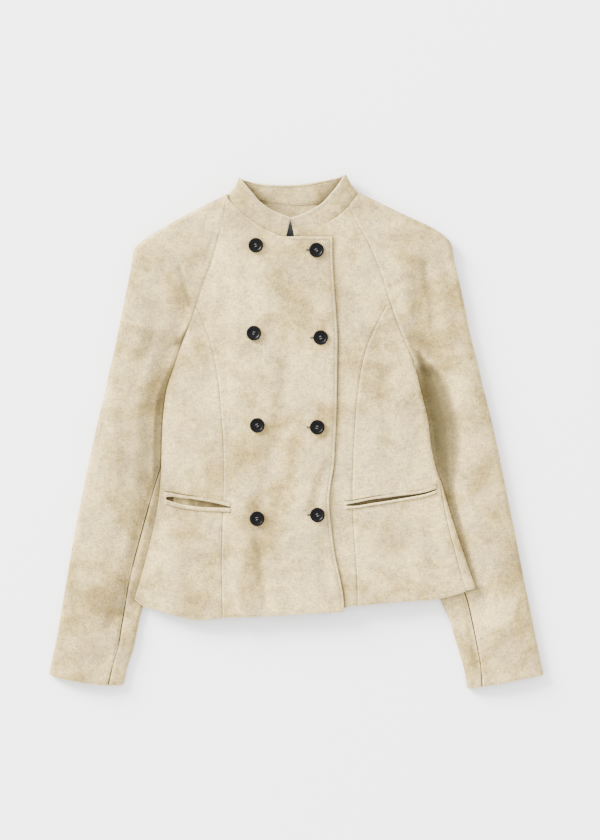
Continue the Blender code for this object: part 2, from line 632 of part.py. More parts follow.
def side_front(side, name):
    """Between the side seam and the princess seam, round the side fold."""
    _, lower = raglan_levels(side)
    edge_y, seam_s = side_rows(side, lower[::-1])
    edge_y[-1] = PRINCESS_TOP[side] - 1.0
    inner = princess_points(side)
    inner_s = tube_s(side, inner[:, 0], inner[:, 1])
    t = spread(SIDE_COLUMNS, 1.5)
    s = seam_s[:, None] + (inner_s - seam_s)[:, None] * t
    y = edge_y[:, None] + (inner[:, 1] - edge_y)[:, None] * t
    y = bend_hem(side, s, y, 0.0, inner[0, 1])
    return skin(name, lambda a, b: body_tube(side, a, b), s, y, ABOVE)


def back(side, name):
    """From the side seam under the body to the centre back seam."""
    upper, lower = raglan_levels(side)
    edge_y, seam_s = side_rows(side, np.concatenate((lower[::-1], upper[::-1][1:])))
    seam_s = np.where(edge_y > UNDERARM[side], -TINY, seam_s)
    middle_y = np.linspace(HEM_MIDDLE_Y + BACK_HEM_SHORT, BACK_NECK_Y, len(edge_y))
    middle_s = -tube_s(side, CENTRE_BACK, middle_y)
    t = spread(BACK_COLUMNS, 1.35)
    s = seam_s[:, None] + (middle_s - seam_s)[:, None] * t
    y = edge_y[:, None] + (middle_y - edge_y)[:, None] * t
    y = bend_hem(side, s, y, BACK_HEM_SHORT, middle_y[0])
    return skin(name, lambda a, b: body_tube(side, a, b), s, y, BELOW)


# ---------------------------------------------------------------- sleeves
LOWER_SLEEVE_ROWS = 14


def sleeve_rows(side):
    upper, lower = raglan_levels(side)
    first, last = UNDERARM_ROW[side], len(SLEEVE[side]["ix"]) - 1
    return np.concatenate((upper, lower[1:], first + (last - first)
                           * np.linspace(0, 1, LOWER_SLEEVE_ROWS)[1:] ** 1.15))


def sleeve_piece(side, name, start, stop, columns, outward):
    rows = sleeve_rows(side)
    a, b = start(rows)[:, None], stop(rows)[:, None]
    turn = a + (b - a) * np.linspace(0, 1, columns)[None, :]
    grid = np.broadcast_to(rows[:, None], turn.shape)
    return skin(name, lambda k, q: sleeve_tube(side, k, q), grid, turn, outward)


def sleeve(side, word):
    sleeve_piece(side, "sleeve_front_" + word, lambda k: seam_turn(side, k) + TINY,
                 lambda k: np.full(len(k), 1.0 - TINY), 10, ABOVE)
    sleeve_piece(side, "sleeve_back_" + word, lambda k: np.full(len(k), 1.0 + TINY),
                 lambda k: 2.0 + seam_turn(side, k) - TINY, 12, BELOW)


# ---------------------------------------------------------------- collar and neck
def collar():
    """One strip: on the fronts it lies on them, at the back on the back's inside."""
    places = range(len(COLLAR["bx"]))
    stations = np.linspace(0, places[-1], COLLAR_COLUMNS)
    read = {name: through(places, COLLAR[name], stations) for name in COLLAR}
    low_y = np.minimum(read["by"], NECK_TOP_Y)
    front_z = np.where(stations < BACK_STATION, lap_height(read["bx"], low_y),
                       front_height(read["bx"], low_y))
    share = np.clip(read["front"], 0, 1)
    bottom_z = share * (front_z - COLLAR_THICK / 2) + (1 - share) * COLLAR_BACK_Z
    low = np.stack((read["bx"], read["by"], bottom_z), axis=-1)
    high = np.stack((read["tx"], read["ty"], bottom_z + read["rise"]), axis=-1)
    t = np.linspace(0, 1, 4)[None, :, None]
    middle = low[:, None] + (high - low)[:, None] * t
    n = np.cross(np.gradient(middle, axis=0), np.gradient(middle, axis=1))
    n = n / np.linalg.norm(n, axis=-1, keepdims=True)
    return wall("collar", middle + n * COLLAR_THICK / 2, middle - n * COLLAR_THICK / 2,
                CREAM)


def flat_sheet(name, x, low_y, high_y, rows, colour):
    """A thin sheet on the inside of the back, from low_y to high_y at each x."""
    t = np.linspace(0, 1, rows)[:, None]
    y = np.broadcast_to(low_y + (high_y - low_y) * t, (rows, len(x)))
    grid_x = np.broadcast_to(x, y.shape)
    low = np.stack((grid_x, y, np.full(y.shape, WALL + LAY)), axis=-1)
    return wall(name, low + (0, 0, SHEET), low, colour)


def neck_inside():
    x = np.linspace(*NECK_FACING["x"], 9)
    collar_y = through(COLLAR["bx"][NECK_STATIONS], COLLAR["by"][NECK_STATIONS], x)
    flat_sheet("back_neck_facing", x, NECK_FACING["low"],
               collar_y - NECK_FACING["below_collar"], 3, CREAM_INSIDE)
    flat_sheet("back_lining", np.linspace(*BACK_LINING["x"], 5), BACK_LINING["low"],
               BACK_LINING["high"], 4, LINING)


# ---------------------------------------------------------------- pockets
def on_front(side, x, y):
    """The front's outer surface with the side fold's round-off."""
    inside = np.maximum(0.0, side * (side_x(side, y) - x))
    middle = side_middle(side, y)
    height = (lap_height if side == RIGHT else front_height)(x, y)
    return middle + (height - middle) * arch(inside / FOLD_ROUND)


def between(x, lower, upper, rows):
    """Plan grid between two curves, given as y at each x; t is 0 to 1 across it."""
    t = np.linspace(0, 1, rows)[:, None]
    y = lower + (upper - lower) * t
    return np.broadcast_to(x, y.shape), y, t


def pocket_curve(side, name, x):
    return through(POCKET[side]["x"], POCKET[side][name], x)


def welt(side, name, upper, lower):
    """A strip that lies on the front between two curves, thickest along its middle."""
    x = np.linspace(POCKET[side]["x"][0], POCKET[side]["x"][-1], 11)
    grid_x, y, t = between(x, pocket_curve(side, lower, x),
                           pocket_curve(side, upper, x), 4)

    def surface(p, q):
        return np.stack((p, q, on_front(side, p, q)), axis=-1)
    n = normals(surface, grid_x, y)
    n = n * np.sign(n[..., 2:3])
    low = surface(grid_x, y) + n * LAY
    full = WELT["thick"] + np.sin(math.pi * t)[..., None] ** 0.5 * WELT["swell"]
    return wall(name, pull_in(low + n * full, INNER_EDGE_GAP),
                pull_in(low, INNER_EDGE_GAP), CREAM)


def pocket(side, word):
    """Two welts on the front, and the facing that shows in the mouth between them."""
    welt(side, "pocket_welt_upper_" + word, "top", "mouth_top")
    welt(side, "pocket_welt_lower_" + word, "mouth_low", "bottom")
    inner_end, outer_end = sorted((POCKET[side]["x"][0], POCKET[side]["x"][-1]), key=abs)
    x = np.linspace(inner_end, outer_end - side * FACING_SHORT, 9)
    grid_x, y, t = between(x, pocket_curve(side, "mouth_low", x) - POCKET_MARGIN,
                           pocket_curve(side, "mouth_top", x) + POCKET_MARGIN, 5)
    droop = POCKET_DROOP * np.sin(math.pi * t) ** 2
    z = on_front(side, grid_x, y) - WALL - FACING_GAP - droop
    top_face = np.stack((grid_x, y, z), axis=-1)
    wall("pocket_facing_" + word, top_face, top_face - (0, 0, SHEET), CREAM_INSIDE)


def as_cutter(piece):
    piece.hide_render = True
    piece.display_type = "WIRE"
    return piece


def mouth_cutter(side, word):
    """A lens-shaped block that opens the pocket's mouth through the front pieces."""
    x = np.linspace(POCKET[side]["x"][0], POCKET[side]["x"][-1], 11)
    ring = np.concatenate((np.stack((x, pocket_curve(side, "mouth_low", x)), -1),
                           np.stack((x, pocket_curve(side, "mouth_top", x)), -1)[::-1]))
    count = len(ring)
    lower = np.concatenate((ring, np.full((count, 1), MOUTH_FLOOR)), axis=1)
    upper = np.concatenate((ring, np.full((count, 1), MOUTH_ROOF)), axis=1)
    faces = [tuple(range(count)), tuple(range(2 * count - 1, count - 1, -1))]
    faces += [(i, (i + 1) % count, (i + 1) % count + count, i + count)
              for i in range(count)]
    return as_cutter(mesh_object("mouth_" + word, np.concatenate((lower, upper)), faces,
                                 CREAM, LEATHER_ROUGH))


def cut(piece, cutter):
    boolean = piece.modifiers.new("opening", "BOOLEAN")
    boolean.operation = "DIFFERENCE"
    boolean.object = cutter
    boolean.solver = "EXACT"


# ---------------------------------------------------------------- buttons
def button_mesh():
    """A turned disc with a raised rim and a dished middle."""
    rim_foot = BUTTON_RADIUS - BUTTON_RIM
    dish = BUTTON_THICK - BUTTON_DISH
    profile = [(0.0, dish - 0.3), (rim_foot - 1.2, dish + 0.25),
               (rim_foot, BUTTON_THICK - 0.1), (BUTTON_RADIUS - 0.9, BUTTON_THICK),
               (BUTTON_RADIUS, BUTTON_THICK - 0.9), (BUTTON_RADIUS - 0.2, 1.2),
               (BUTTON_RADIUS - 2.2, 0.0), (0.0, 0.0)]
    disc = bmesh.new()
    points = [disc.verts.new((r * MM, 0, z * MM)) for r, z in profile]
    for first, second in zip(points, points[1:]):
        disc.edges.new((first, second))
    bmesh.ops.spin(disc, geom=disc.verts[:] + disc.edges[:], axis=(0, 0, 1),
                   cent=(0, 0, 0), steps=16, angle=2 * math.pi, use_duplicate=False)
    bmesh.ops.remove_doubles(disc, verts=disc.verts[:], dist=0.00002)
    face_outwards(disc)
    mesh = bpy.data.meshes.new("button_blank")
    disc.to_mesh(mesh)
    disc.free()
    mesh.shade_smooth()
    mesh.set_sharp_from_angle(angle=SHARP_EDGE)
    return mesh


def hole_rods():
    """Four thin rods, which bore the button's thread holes."""
    rods = bmesh.new()
    for corner in range(4):
        angle = math.pi / 4 + corner * math.pi / 2
        place = Matrix.Translation((HOLE_SPREAD * MM * math.cos(angle),
                                    HOLE_SPREAD * MM * math.sin(angle),
                                    BUTTON_THICK / 2 * MM))
        bmesh.ops.create_cone(rods, cap_ends=True, segments=6, radius1=BUTTON_HOLE * MM,
                              radius2=BUTTON_HOLE * MM, depth=6 * BUTTON_THICK * MM,
                              matrix=place)
    mesh = bpy.data.meshes.new("button_holes")
    rods.to_mesh(mesh)
    rods.free()
    return mesh


def button_place(x, y):
    """Where a button lies: square to the front, just above the highest point under it."""
    def surface(p, q):
        return np.stack((p, q, lap_height(p, q)), axis=-1)
    n = normals(surface, np.array(x), np.array(y), step=BUTTON_RADIUS)
    n = n * np.sign(n[2])
    angle = np.linspace(0, 2 * math.pi, 17)
    reach = np.array((0.0, 0.5, 0.9))[:, None] * BUTTON_RADIUS
    centre = surface(np.array(x), np.array(y))
    under = surface(x + reach * np.cos(angle), y + reach * np.sin(angle))
    seat = centre + n * (((under - centre) @ n).max() + BUTTON_REST)
    turn = Vector((0, 0, 1)).rotation_difference(Vector(n)).to_matrix().to_4x4()
    return Matrix.Translation(Vector(seat - PLAN_MIDDLE) * MM) @ turn


def buttons():
    disc, rods = button_mesh(), hole_rods()
    for name, x, y in BUTTONS:
        piece = new_object(name, disc.copy())
        cutter = as_cutter(new_object("holes_" + name, rods))
        piece.matrix_world = cutter.matrix_world = button_place(x, y)
        dress(piece, HORN, HORN_ROUGH)
        cut(piece, cutter)


# ---------------------------------------------------------------- the whole jacket
def main():
    for old in list(bpy.data.objects):
        bpy.data.objects.remove(old)
    fronts = {
        RIGHT: [front(RIGHT, "front_right", lap_x, lap_height),
                side_front(RIGHT, "side_front_right")],
        LEFT: [front(LEFT, "front_left", underlap_x, front_height),
               side_front(LEFT, "side_front_left")],
    }
    for side, word in ((RIGHT, "right"), (LEFT, "left")):
        back(side, "back_" + word)
        sleeve(side, word)
        pocket(side, word)
        cutter = mouth_cutter(side, word)
        for piece in fronts[side]:
            cut(piece, cutter)
    collar()
    neck_inside()
    buttons()


main()
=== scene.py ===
# %% [markdown]
# # A cropped leather jacket, laid flat
# The jacket lies on its back on a pale surface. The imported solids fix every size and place,
# and this file gives each cut piece its finished cloth: a fine thin wall on the same form,
# with rolled seams, soft folds, topstitching, buttons and a mottled, suede-like leather.
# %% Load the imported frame
import math

import bmesh
import bpy
import numpy as np
from mathutils import Matrix, Vector


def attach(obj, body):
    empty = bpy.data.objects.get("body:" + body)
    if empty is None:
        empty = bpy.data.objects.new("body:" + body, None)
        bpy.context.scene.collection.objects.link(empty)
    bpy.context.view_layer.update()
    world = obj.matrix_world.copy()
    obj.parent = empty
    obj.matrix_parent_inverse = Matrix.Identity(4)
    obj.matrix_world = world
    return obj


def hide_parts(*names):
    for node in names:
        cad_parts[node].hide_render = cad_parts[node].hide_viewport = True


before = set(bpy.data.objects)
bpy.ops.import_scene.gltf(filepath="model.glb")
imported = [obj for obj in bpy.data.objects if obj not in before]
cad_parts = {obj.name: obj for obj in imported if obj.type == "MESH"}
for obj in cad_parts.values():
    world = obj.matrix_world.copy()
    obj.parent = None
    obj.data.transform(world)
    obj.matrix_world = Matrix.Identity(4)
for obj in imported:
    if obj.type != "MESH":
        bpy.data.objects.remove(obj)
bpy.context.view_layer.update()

# %% [markdown]
# ## Camera, floor and light
# The photograph looks straight down, from far off, so that the jacket shows no perspective.
# The light is a large soft one from the upper left with a weak fill, which gives the soft
# shadow to the lower right.
# %% Camera, floor and light
MM = 0.001
MM_PER_PIXEL = 1.35
IMAGE_HEIGHT_PX = 840
VIEW_MIDDLE_MM = (5.1, 16.0)      # what the picture's middle looks at
CAMERA_HEIGHT, SCALE_HEIGHT = 4.0, 0.012      # the scale holds at this height of the cloth
SENSOR, FAR_CLIP = 24.0, 50.0
KEY_PLACE, KEY_SIZE, KEY_POWER = (-8.7, 7.0, 4.1), 4.8, 9800.0
SKY_STRENGTH, FLOOR_SIZE, FLOOR_DROP = 3.4, 8.0, 0.0002


def add_object(name, data):
    item = bpy.data.objects.new(name, data)
    bpy.context.collection.objects.link(item)
    return item


view = bpy.data.cameras.new("camera")
view.sensor_fit = "VERTICAL"
view.sensor_height = SENSOR
view.lens = SENSOR * CAMERA_HEIGHT / (IMAGE_HEIGHT_PX * MM_PER_PIXEL * MM)
view.clip_end = FAR_CLIP
camera = add_object("camera", view)
camera.location = (VIEW_MIDDLE_MM[0] * MM, VIEW_MIDDLE_MM[1] * MM,
                   CAMERA_HEIGHT + SCALE_HEIGHT)
bpy.context.scene.camera = camera

lamp = bpy.data.lights.new("key", "AREA")
lamp.size, lamp.energy = KEY_SIZE, KEY_POWER
key_light = add_object("key", lamp)
key_light.location = KEY_PLACE
key_light.rotation_euler = (-Vector(KEY_PLACE)).to_track_quat("-Z", "Y").to_euler()
world = bpy.data.worlds.new("studio")
world.use_nodes = True
sky = world.node_tree.nodes["Background"].inputs
sky["Color"].default_value = (1.0, 1.0, 1.0, 1.0)
sky["Strength"].default_value = SKY_STRENGTH
bpy.context.scene.world = world

bpy.ops.mesh.primitive_plane_add(size=FLOOR_SIZE, location=(0, 0, -FLOOR_DROP))
floor = bpy.context.object
floor.name = "floor"

# %% [markdown]
# ## Small maths
# Outlines are smooth curves through a few measured points, and folds are bells across a
# line. Both work on whole arrays at once.
# %% Curves and folds
RIGHT, LEFT = -1, 1
SIDES = {RIGHT: "right", LEFT: "left"}


def unit(v):
    return v / np.linalg.norm(v, axis=-1, keepdims=True)


def xyz(x, y, z):
    """Points from three arrays that broadcast together."""
    return np.stack(np.broadcast_arrays(x, y, z), axis=-1)


def bell(distance, wide):
    """exp(-(distance / wide)^2)."""
    return np.exp(-(distance / wide) ** 2)


def smooth(low, high, value):
    """0 up to low, 1 from high on, and 3t^2 - 2t^3 between."""
    t = np.clip((value - low) / (high - low), 0.0, 1.0)
    return t * t * (3.0 - 2.0 * t)


def through(xs, ys, at):
    """A cubic Hermite curve through (xs, ys) read at `at`; slopes are weighted means."""
    xs, ys = np.asarray(xs, float), np.asarray(ys, float)
    if xs[0] > xs[-1]:
        xs, ys = xs[::-1], ys[::-1]
    span = np.diff(xs)
    rise = np.diff(ys) / span
    slope = np.concatenate((
        [rise[0]],
        (span[:-1] * rise[1:] + span[1:] * rise[:-1]) / (span[:-1] + span[1:]),
        [rise[-1]]))
    at = np.clip(np.asarray(at, float), xs[0], xs[-1])
    i = np.clip(np.searchsorted(xs, at) - 1, 0, len(span) - 1)
    h, t = span[i], (at - xs[i]) / span[i]
    return ((1 + 2 * t) * (1 - t) ** 2 * ys[i] + t * (1 - t) ** 2 * h * slope[i]
            + t * t * (3 - 2 * t) * ys[i + 1] - t * t * (1 - t) * h * slope[i + 1])


def read(table, column, at):
    """A table's column as a smooth curve over its first column."""
    return through(next(iter(table.values())), table[column], at)


def by_row(table, column, row):
    """A table's column as a smooth curve over its row number."""
    return through(range(len(table[column])), table[column], row)


def arch(m):
    """A quarter circle's rise, sqrt(1 - (1 - m)^2): 0 at 0 and 1 from 1 on."""
    return np.sqrt(1.0 - (1.0 - np.clip(m, 0.0, 1.0)) ** 2)


def relief(folds, x, y):
    """Sum over folds of height * exp(-(distance / width)^2), faded at both ends."""
    total = np.zeros(np.broadcast(x, y).shape)
    for x0, y0, x1, y1, wide, high in folds:
        length = math.hypot(x1 - x0, y1 - y0)
        ux, uy = (x1 - x0) / length, (y1 - y0) / length
        along = (x - x0) * ux + (y - y0) * uy
        across = (x - x0) * uy - (y - y0) * ux
        end = wide * 1.5
        fade = smooth(-end, end, along) * smooth(-end, end, length - along)
        total = total + high * fade * bell(across, wide)
    return total


def creases(table, x, y):
    """Two sums over polylines of exp(-(distance / width)^2): of heights and of painted shades."""
    height = np.zeros(np.broadcast(x, y).shape)
    shade = np.zeros(height.shape)
    for wide, high, dark, *points in table:
        nearest = np.full(height.shape, np.inf)
        along = np.zeros(height.shape)
        done = 0.0
        for (x0, y0), (x1, y1) in zip(points, points[1:]):
            length = math.hypot(x1 - x0, y1 - y0)
            step = ((x - x0) * (x1 - x0) + (y - y0) * (y1 - y0)) / length
            on_line = np.clip(step, 0.0, length)
            away = np.hypot(x - x0 - on_line * (x1 - x0) / length,
                            y - y0 - on_line * (y1 - y0) / length)
            along = np.where(away < nearest, done + step, along)
            nearest = np.minimum(nearest, away)
            done += length
        fade = smooth(-wide, 1.5 * wide, along) * smooth(-wide, 1.5 * wide, done - along)
        form = fade * bell(nearest, wide)
        height += high * form
        shade += dark * form
    return height, shade


def ripple(x, y, wave, count, seed):
    """Mean of `count` sine waves in fixed directions, with lengths near `wave`."""
    pick = np.random.default_rng(seed)
    total = np.zeros(np.broadcast(x, y).shape)
    for turn, start, size in zip(pick.uniform(0, math.pi, count),
                                 pick.uniform(0, 2 * math.pi, count),
                                 pick.uniform(0.7, 1.5, count)):
        step = 2 * math.pi / (wave * size)
        total += np.sin(step * (x * math.cos(turn) + y * math.sin(turn)) + start)
    return total / math.sqrt(count)


# %% [markdown]
# ## The outline
# A pattern cutter would draw these lines: the side of the body, the princess seams, the
# lap's edge, the hem and the neck. Each is a short table of millimetres on the surface.
# %% Outline tables
WALL = 1.5
SEAM_GAP = 0.12
LAP_LIFT, LAP_LIFT_X = 2.6, (-97.0, -78.0)
FOLD_ROUND, FOLD_ARC = 7.0, 10.0
ARMHOLE_CLOSE = 20.0
SLEEVE_ROUND = 5.0
BODY_ON_SLEEVE, SLEEVE_UNDER_BODY = 8.6, 7.2
DROP_LENGTH = 22.0
ARMHOLE_REACH = 75.0
LIFT_MARGIN, LIFT_SLOPE = 4.0, 34.0
CROWN_FROM, CROWN_FULL = 6.0, 36.0
HEM_CLEARANCE = 40.0
PAST_HEM = ((200, 250), (-256, -234))
SLEEVE_LOW_SLOPE = 45.0
OUTER_ROUND, OUTER_SHARE = 7.0, 0.8
CENTRE_BACK = -5.0
PLAN_MIDDLE = (-0.25, 0.73, 0.0)

SIDE = {
    RIGHT: dict(
        y=(330, 316.5, 284, 255.5, 228.5, 200.5, 173.5, 150.5, 130, 111, 87, 60, 30,
           -10, -50, -87, -132, -191, -225.5, -260),
        x=(-90.5, -93.5, -100, -107, -115, -125.5, -134.5, -142.5, -151, -157.5, -165.5,
           -174.5, -179, -181.5, -182.5, -185.5, -193.5, -208.5, -218.5, -228)),
    LEFT: dict(
        y=(330, 305, 280.5, 255.5, 224.5, 200, 177.5, 159.5, 120.5, 92.5, 57, 16.5,
           -22.5, -51, -67, -91.5, -132, -165.5, -190, -210.5, -250),
        x=(58, 70.5, 82.5, 96.5, 110, 119, 125.5, 131.5, 147, 159, 168, 177.5,
           182.5, 189.5, 195, 202.5, 215, 226.5, 235, 242, 255)),
}
UNDERARM = {RIGHT: 130.0, LEFT: 92.5}
PRINCESS = {
    RIGHT: dict(y=(-251, -176, -107, -60, -10, 30, 60, 90, 115, 137, 155, 168.5),
                x=(-100, -101, -99.5, -98, -99, -102, -104.5, -109, -114.5, -121.5,
                   -128.5, -134)),
    LEFT: dict(y=(-234, -205, -168, -125, -87, -37, 16.5, 54.5, 88, 115, 137, 155, 173),
               x=(82, 81.5, 79.5, 76.5, 75, 76, 79, 82.5, 87.5, 94.5, 103.5, 112.5,
                  122.5)),
}
PRINCESS_TOP = {RIGHT: 167.5, LEFT: 173.0}
LAP_EDGE = dict(y=(-242, -223, -202, -162, -132, -109, -87, -69, -47, -15, 16, 54, 92,
                   137, 160, 201, 242, 263.5),
                x=(64.5, 63.5, 60, 51.5, 47.5, 45, 44.5, 46.5, 50, 52, 53.5, 54.5, 55,
                   55, 53.5, 50.5, 48.5, 48.5))
UNDERLAP_X = -76.0
HEM = {
    RIGHT: dict(x=(-218.5, -208, -180, -160, -142, -131, -100, -47, 0, 41, 64.5),
                y=(-225.5, -233, -242, -248, -252.5, -253.5, -251, -248.5, -246, -243.5,
                   -242)),
    LEFT: dict(x=(-76, 65, 82, 137, 194, 214, 226, 242),
               y=(-242, -236.5, -234.5, -229, -224, -219, -215, -210.5)),
}
BACK_HEM_SHORT = 3.0
NECK = {
    RIGHT: dict(x=(-93.5, -87, -74, -60, -45, -31, -16.5, 0, 48.5),
                y=(316.5, 309.5, 296.5, 285.5, 275.5, 269, 264, 263.7, 263.5)),
    LEFT: dict(x=(-76, -3.5, 3.5, 15.5, 29, 46, 56, 70.5),
               y=(260.5, 263, 264.5, 268.5, 275.5, 285.5, 292, 305)),
}
BACK_NECK_Y = 312.0
SIDE_SEAM = {
    RIGHT: dict(y=(-260, -100, 60, 130), s=(-12, -12, -12, 0)),
    LEFT: dict(y=(-250, -215, -185, -149, -113, -81, -50, 0, 92.5),
               s=(18, 17.5, 16.3, 13.4, 10.5, 6.6, 0, -3, 0)),
}
CROWN = dict(y=(-260, -200, -120, 0, 120, 220, 300, 330),
             z=(16.5, 18.5, 22, 24, 27, 27, 26, 25.5))
SIDE_HEIGHT = dict(e=(-400, -330, -250, 0, 60, 120, 190, 240),
                   z=(15.5, 16, 16.8, 16.8, 18.5, 21, 23.5, 24))
CROWN_POWER, FINE_POWER = 2.4, 12
SLEEVE = {
    RIGHT: dict(
        ix=(-94.0, -100.0, -107.0, -115.0, -125.5, -134.5, -142.5, -151, -151.5, -153.5,
            -155, -152, -149, -147.5, -151.5, -162.5, -180, -199, -207.5, -214.5, -220,
            -227.5, -234.5),
        iy=(316.5, 284, 255.5, 228.5, 200.5, 173.5, 150.5, 130, 122, 108, 88, 57,
            27.5, -10.5, -48, -95.5, -149.5, -204.5, -234.5, -262.5, -291, -314, -342),
        ox=(-92.0, -135.5, -170.5, -200.5, -219.0, -224, -230, -236, -238.5, -242, -246.5,
            -253, -259.5, -268, -277.5, -286.5, -297.5, -307, -313.5, -319, -324, -329.5,
            -335),
        oy=(322.8, 301, 282, 264.5, 248.5, 222, 192, 162.5, 150, 133, 110, 84,
            52, 19.5, -24, -67, -121, -175, -213, -245, -275, -300.5, -328)),
    LEFT: dict(
        ix=(70.5, 82.5, 90.5, 101, 110, 119, 125.5, 137.5, 148, 157, 158, 159, 160, 156,
            146.5, 142.5, 145.5, 156, 173.5, 194.5, 206, 218.5, 226.5, 231.5),
        iy=(305, 280.5, 266.5, 246, 224.5, 200, 177.5, 145, 119.5, 92.5, 84.5, 71, 50, 22,
            -4, -34.5, -71, -121, -175, -225.5, -252, -291.5, -319.5, -347.5),
        ox=(84, 119.5, 153.5, 186, 208, 214, 221, 229, 235.5, 243, 246, 249.5, 253, 257.5,
            263.5, 269.5, 277, 287, 298.5, 309.5, 315.5, 323.5, 329.5, 334.5),
        oy=(323.5, 307, 291, 275.5, 257.5, 230.5, 201.5, 164, 131.5, 102, 91, 76, 60,
            43.5, 19.5, -7.5, -42.5, -92.5, -149.5, -206, -234.5, -275, -302.5, -328)),
}
UNDERARM_ROW = {RIGHT: 7, LEFT: 9}
SLEEVE_FORM = dict(
    l=(0, 0.15, 0.3, 0.6, 1.0, 1.2, 1.5, 1.8, 2.0),
    outer_mid=(12, 9, 7.5, 6, 5, 5, 4.8, 4.6, 4.4),
    outer_top=(21, 17, 14.5, 12, 10.5, 10, 9.5, 9, 8.5),
    crown=(0, 1.0, 2.0, 3.5, 6, 8.5, 8.5, 7.0, 5.5))
SEAM_FROM_FOLD = {
    RIGHT: dict(l=(1, 1.1, 1.2, 1.33, 1.45, 1.53, 1.6, 1.67, 1.73, 1.8, 1.87, 2),
                s=(0, 1, 5, 18, 30, 34.5, 32, 27, 24, 21.5, 20.5, 19.5)),
    LEFT: dict(l=(1, 1.1, 1.2, 1.33, 1.45, 1.55, 1.7, 1.85, 2),
               s=(0, 1, 5, 18, 30, 36, 35, 26, 19.5)),
}
CUFF_BOW = {RIGHT: 4.0, LEFT: 0.5}
CUFF_BOW_ROWS, CUFF_LEAN = 4.0, 0.2

# %% [markdown]
# ## Folds and creases
# The big folds are the ones that the solids have. The finer ones are placed one by one: drag
# lines from the underarms, soft buckles at the elbows and waist, and a slow ripple all over,
# because stiff coated cloth never lies quite flat.
# %% Fold tables: x, y of both ends, half width and height, in millimetres
BODY_FOLDS = [
    (-15, 110, -45, -245, 20, -1.6), (-78, -150, -70, -255, 15, 1.8),
    (-48, -150, -42, -255, 13, -1.8), (150, -120, 165, -225, 18, -2.0),
    (112, -130, 112, -230, 18, 1.4), (-150, -130, -165, -245, 16, 1.6),
    (135, -10, 95, 60, 20, -1.5), (-150, -10, -115, 50, 20, -1.5),
]
# The shade of each crease is painted shade along its line.
BODY_CREASES = [         # half width, height, shade, then the points of its line
    # the long soft fold from the chest to the hem, between the two rows of buttons
    (9, -1.2, 0.075, (-15, 105), (-25, 17), (-38, -44), (-56, -118), (-54, -150)),
    (5, -1.2, 0.07, (-57, -138), (-50, -167), (-42, -238)),
    (9, 0.9, 0, (-36, -130), (-28, -245)),
    (13, 0.8, 0, (2, 100), (-8, 0), (-20, -70)), (16, -0.9, 0.03, (-29, 246), (-2, 152)),
    # drag lines at the lap, from its lower buttons to its edge
    (7, -1.6, 0.13, (47, -34), (31, -64), (18, -112)),
    (8, 0.9, 0, (46, -70), (38, -100), (28, -128)),
    (9, -0.9, 0.06, (40, -128), (34, -180), (38, -240)), (8, 0.6, 0, (2, -150), (6, -240)),
    # Painted shade alone, with no height: a broad band over the upper chest, and one down the
    # right side front.
    (45, 0, 0.045, (-70, 205), (75, 205)), (22, 0, 0.05, (-140, 100), (-146, -60), (-160, -230)),
    # the side fronts
    (12, -1.3, 0.05, (106, 138), (120, 84), (124, -10), (113, -51)),
    (12, 0.8, 0, (142, 60), (146, -30)), (18, -0.9, 0.03, (120, -132), (140, -172)),
    (9, -0.8, 0.04, (-130, 138), (-123, 84)), (12, -0.9, 0.04, (-144, -166), (-150, -226)),
    (10, 0.8, 0, (-176, -120), (-186, -210)), (9, -0.7, 0.03, (-158, 60), (-150, 10), (-156, -40)),
    (11, 0.7, 0, (-136, 20), (-132, -60)), (8, -0.9, 0.05, (176, -120), (184, -200)),
    (8, 1.0, 0, (196, -130), (208, -204)),
    # short pulls beside the raglan seams and the underarms
    (7, -0.7, 0.05, (-140, 118), (-122, 98), (-108, 70)), (8, 0.6, 0, (-150, 84), (-120, 52)),
    (7, -0.7, 0.05, (142, 96), (126, 84), (112, 62)), (8, 0.6, 0, (152, 60), (124, 30)),
    (9, -0.5, 0.03, (-60, 196), (-96, 226)), (9, 0.5, 0, (66, 196), (92, 226)),
    (10, -0.4, 0.02, (-88, 150), (-60, 120)), (10, 0.4, 0, (70, 120), (88, 150)),
]
SLEEVE_FOLDS = [
    (-172, 235, -200, 160, 18, -2.2), (-185, 55, -235, -40, 20, -2.0),
    (-255, 10, -275, -70, 16, 1.8), (-215, -110, -270, -190, 18, -1.6),
    (160, 215, 195, 90, 18, -2.6), (215, 40, 232, -60, 18, 1.8),
    (205, -20, 235, -140, 18, -1.8), (275, -110, 300, -210, 16, 1.4),
]
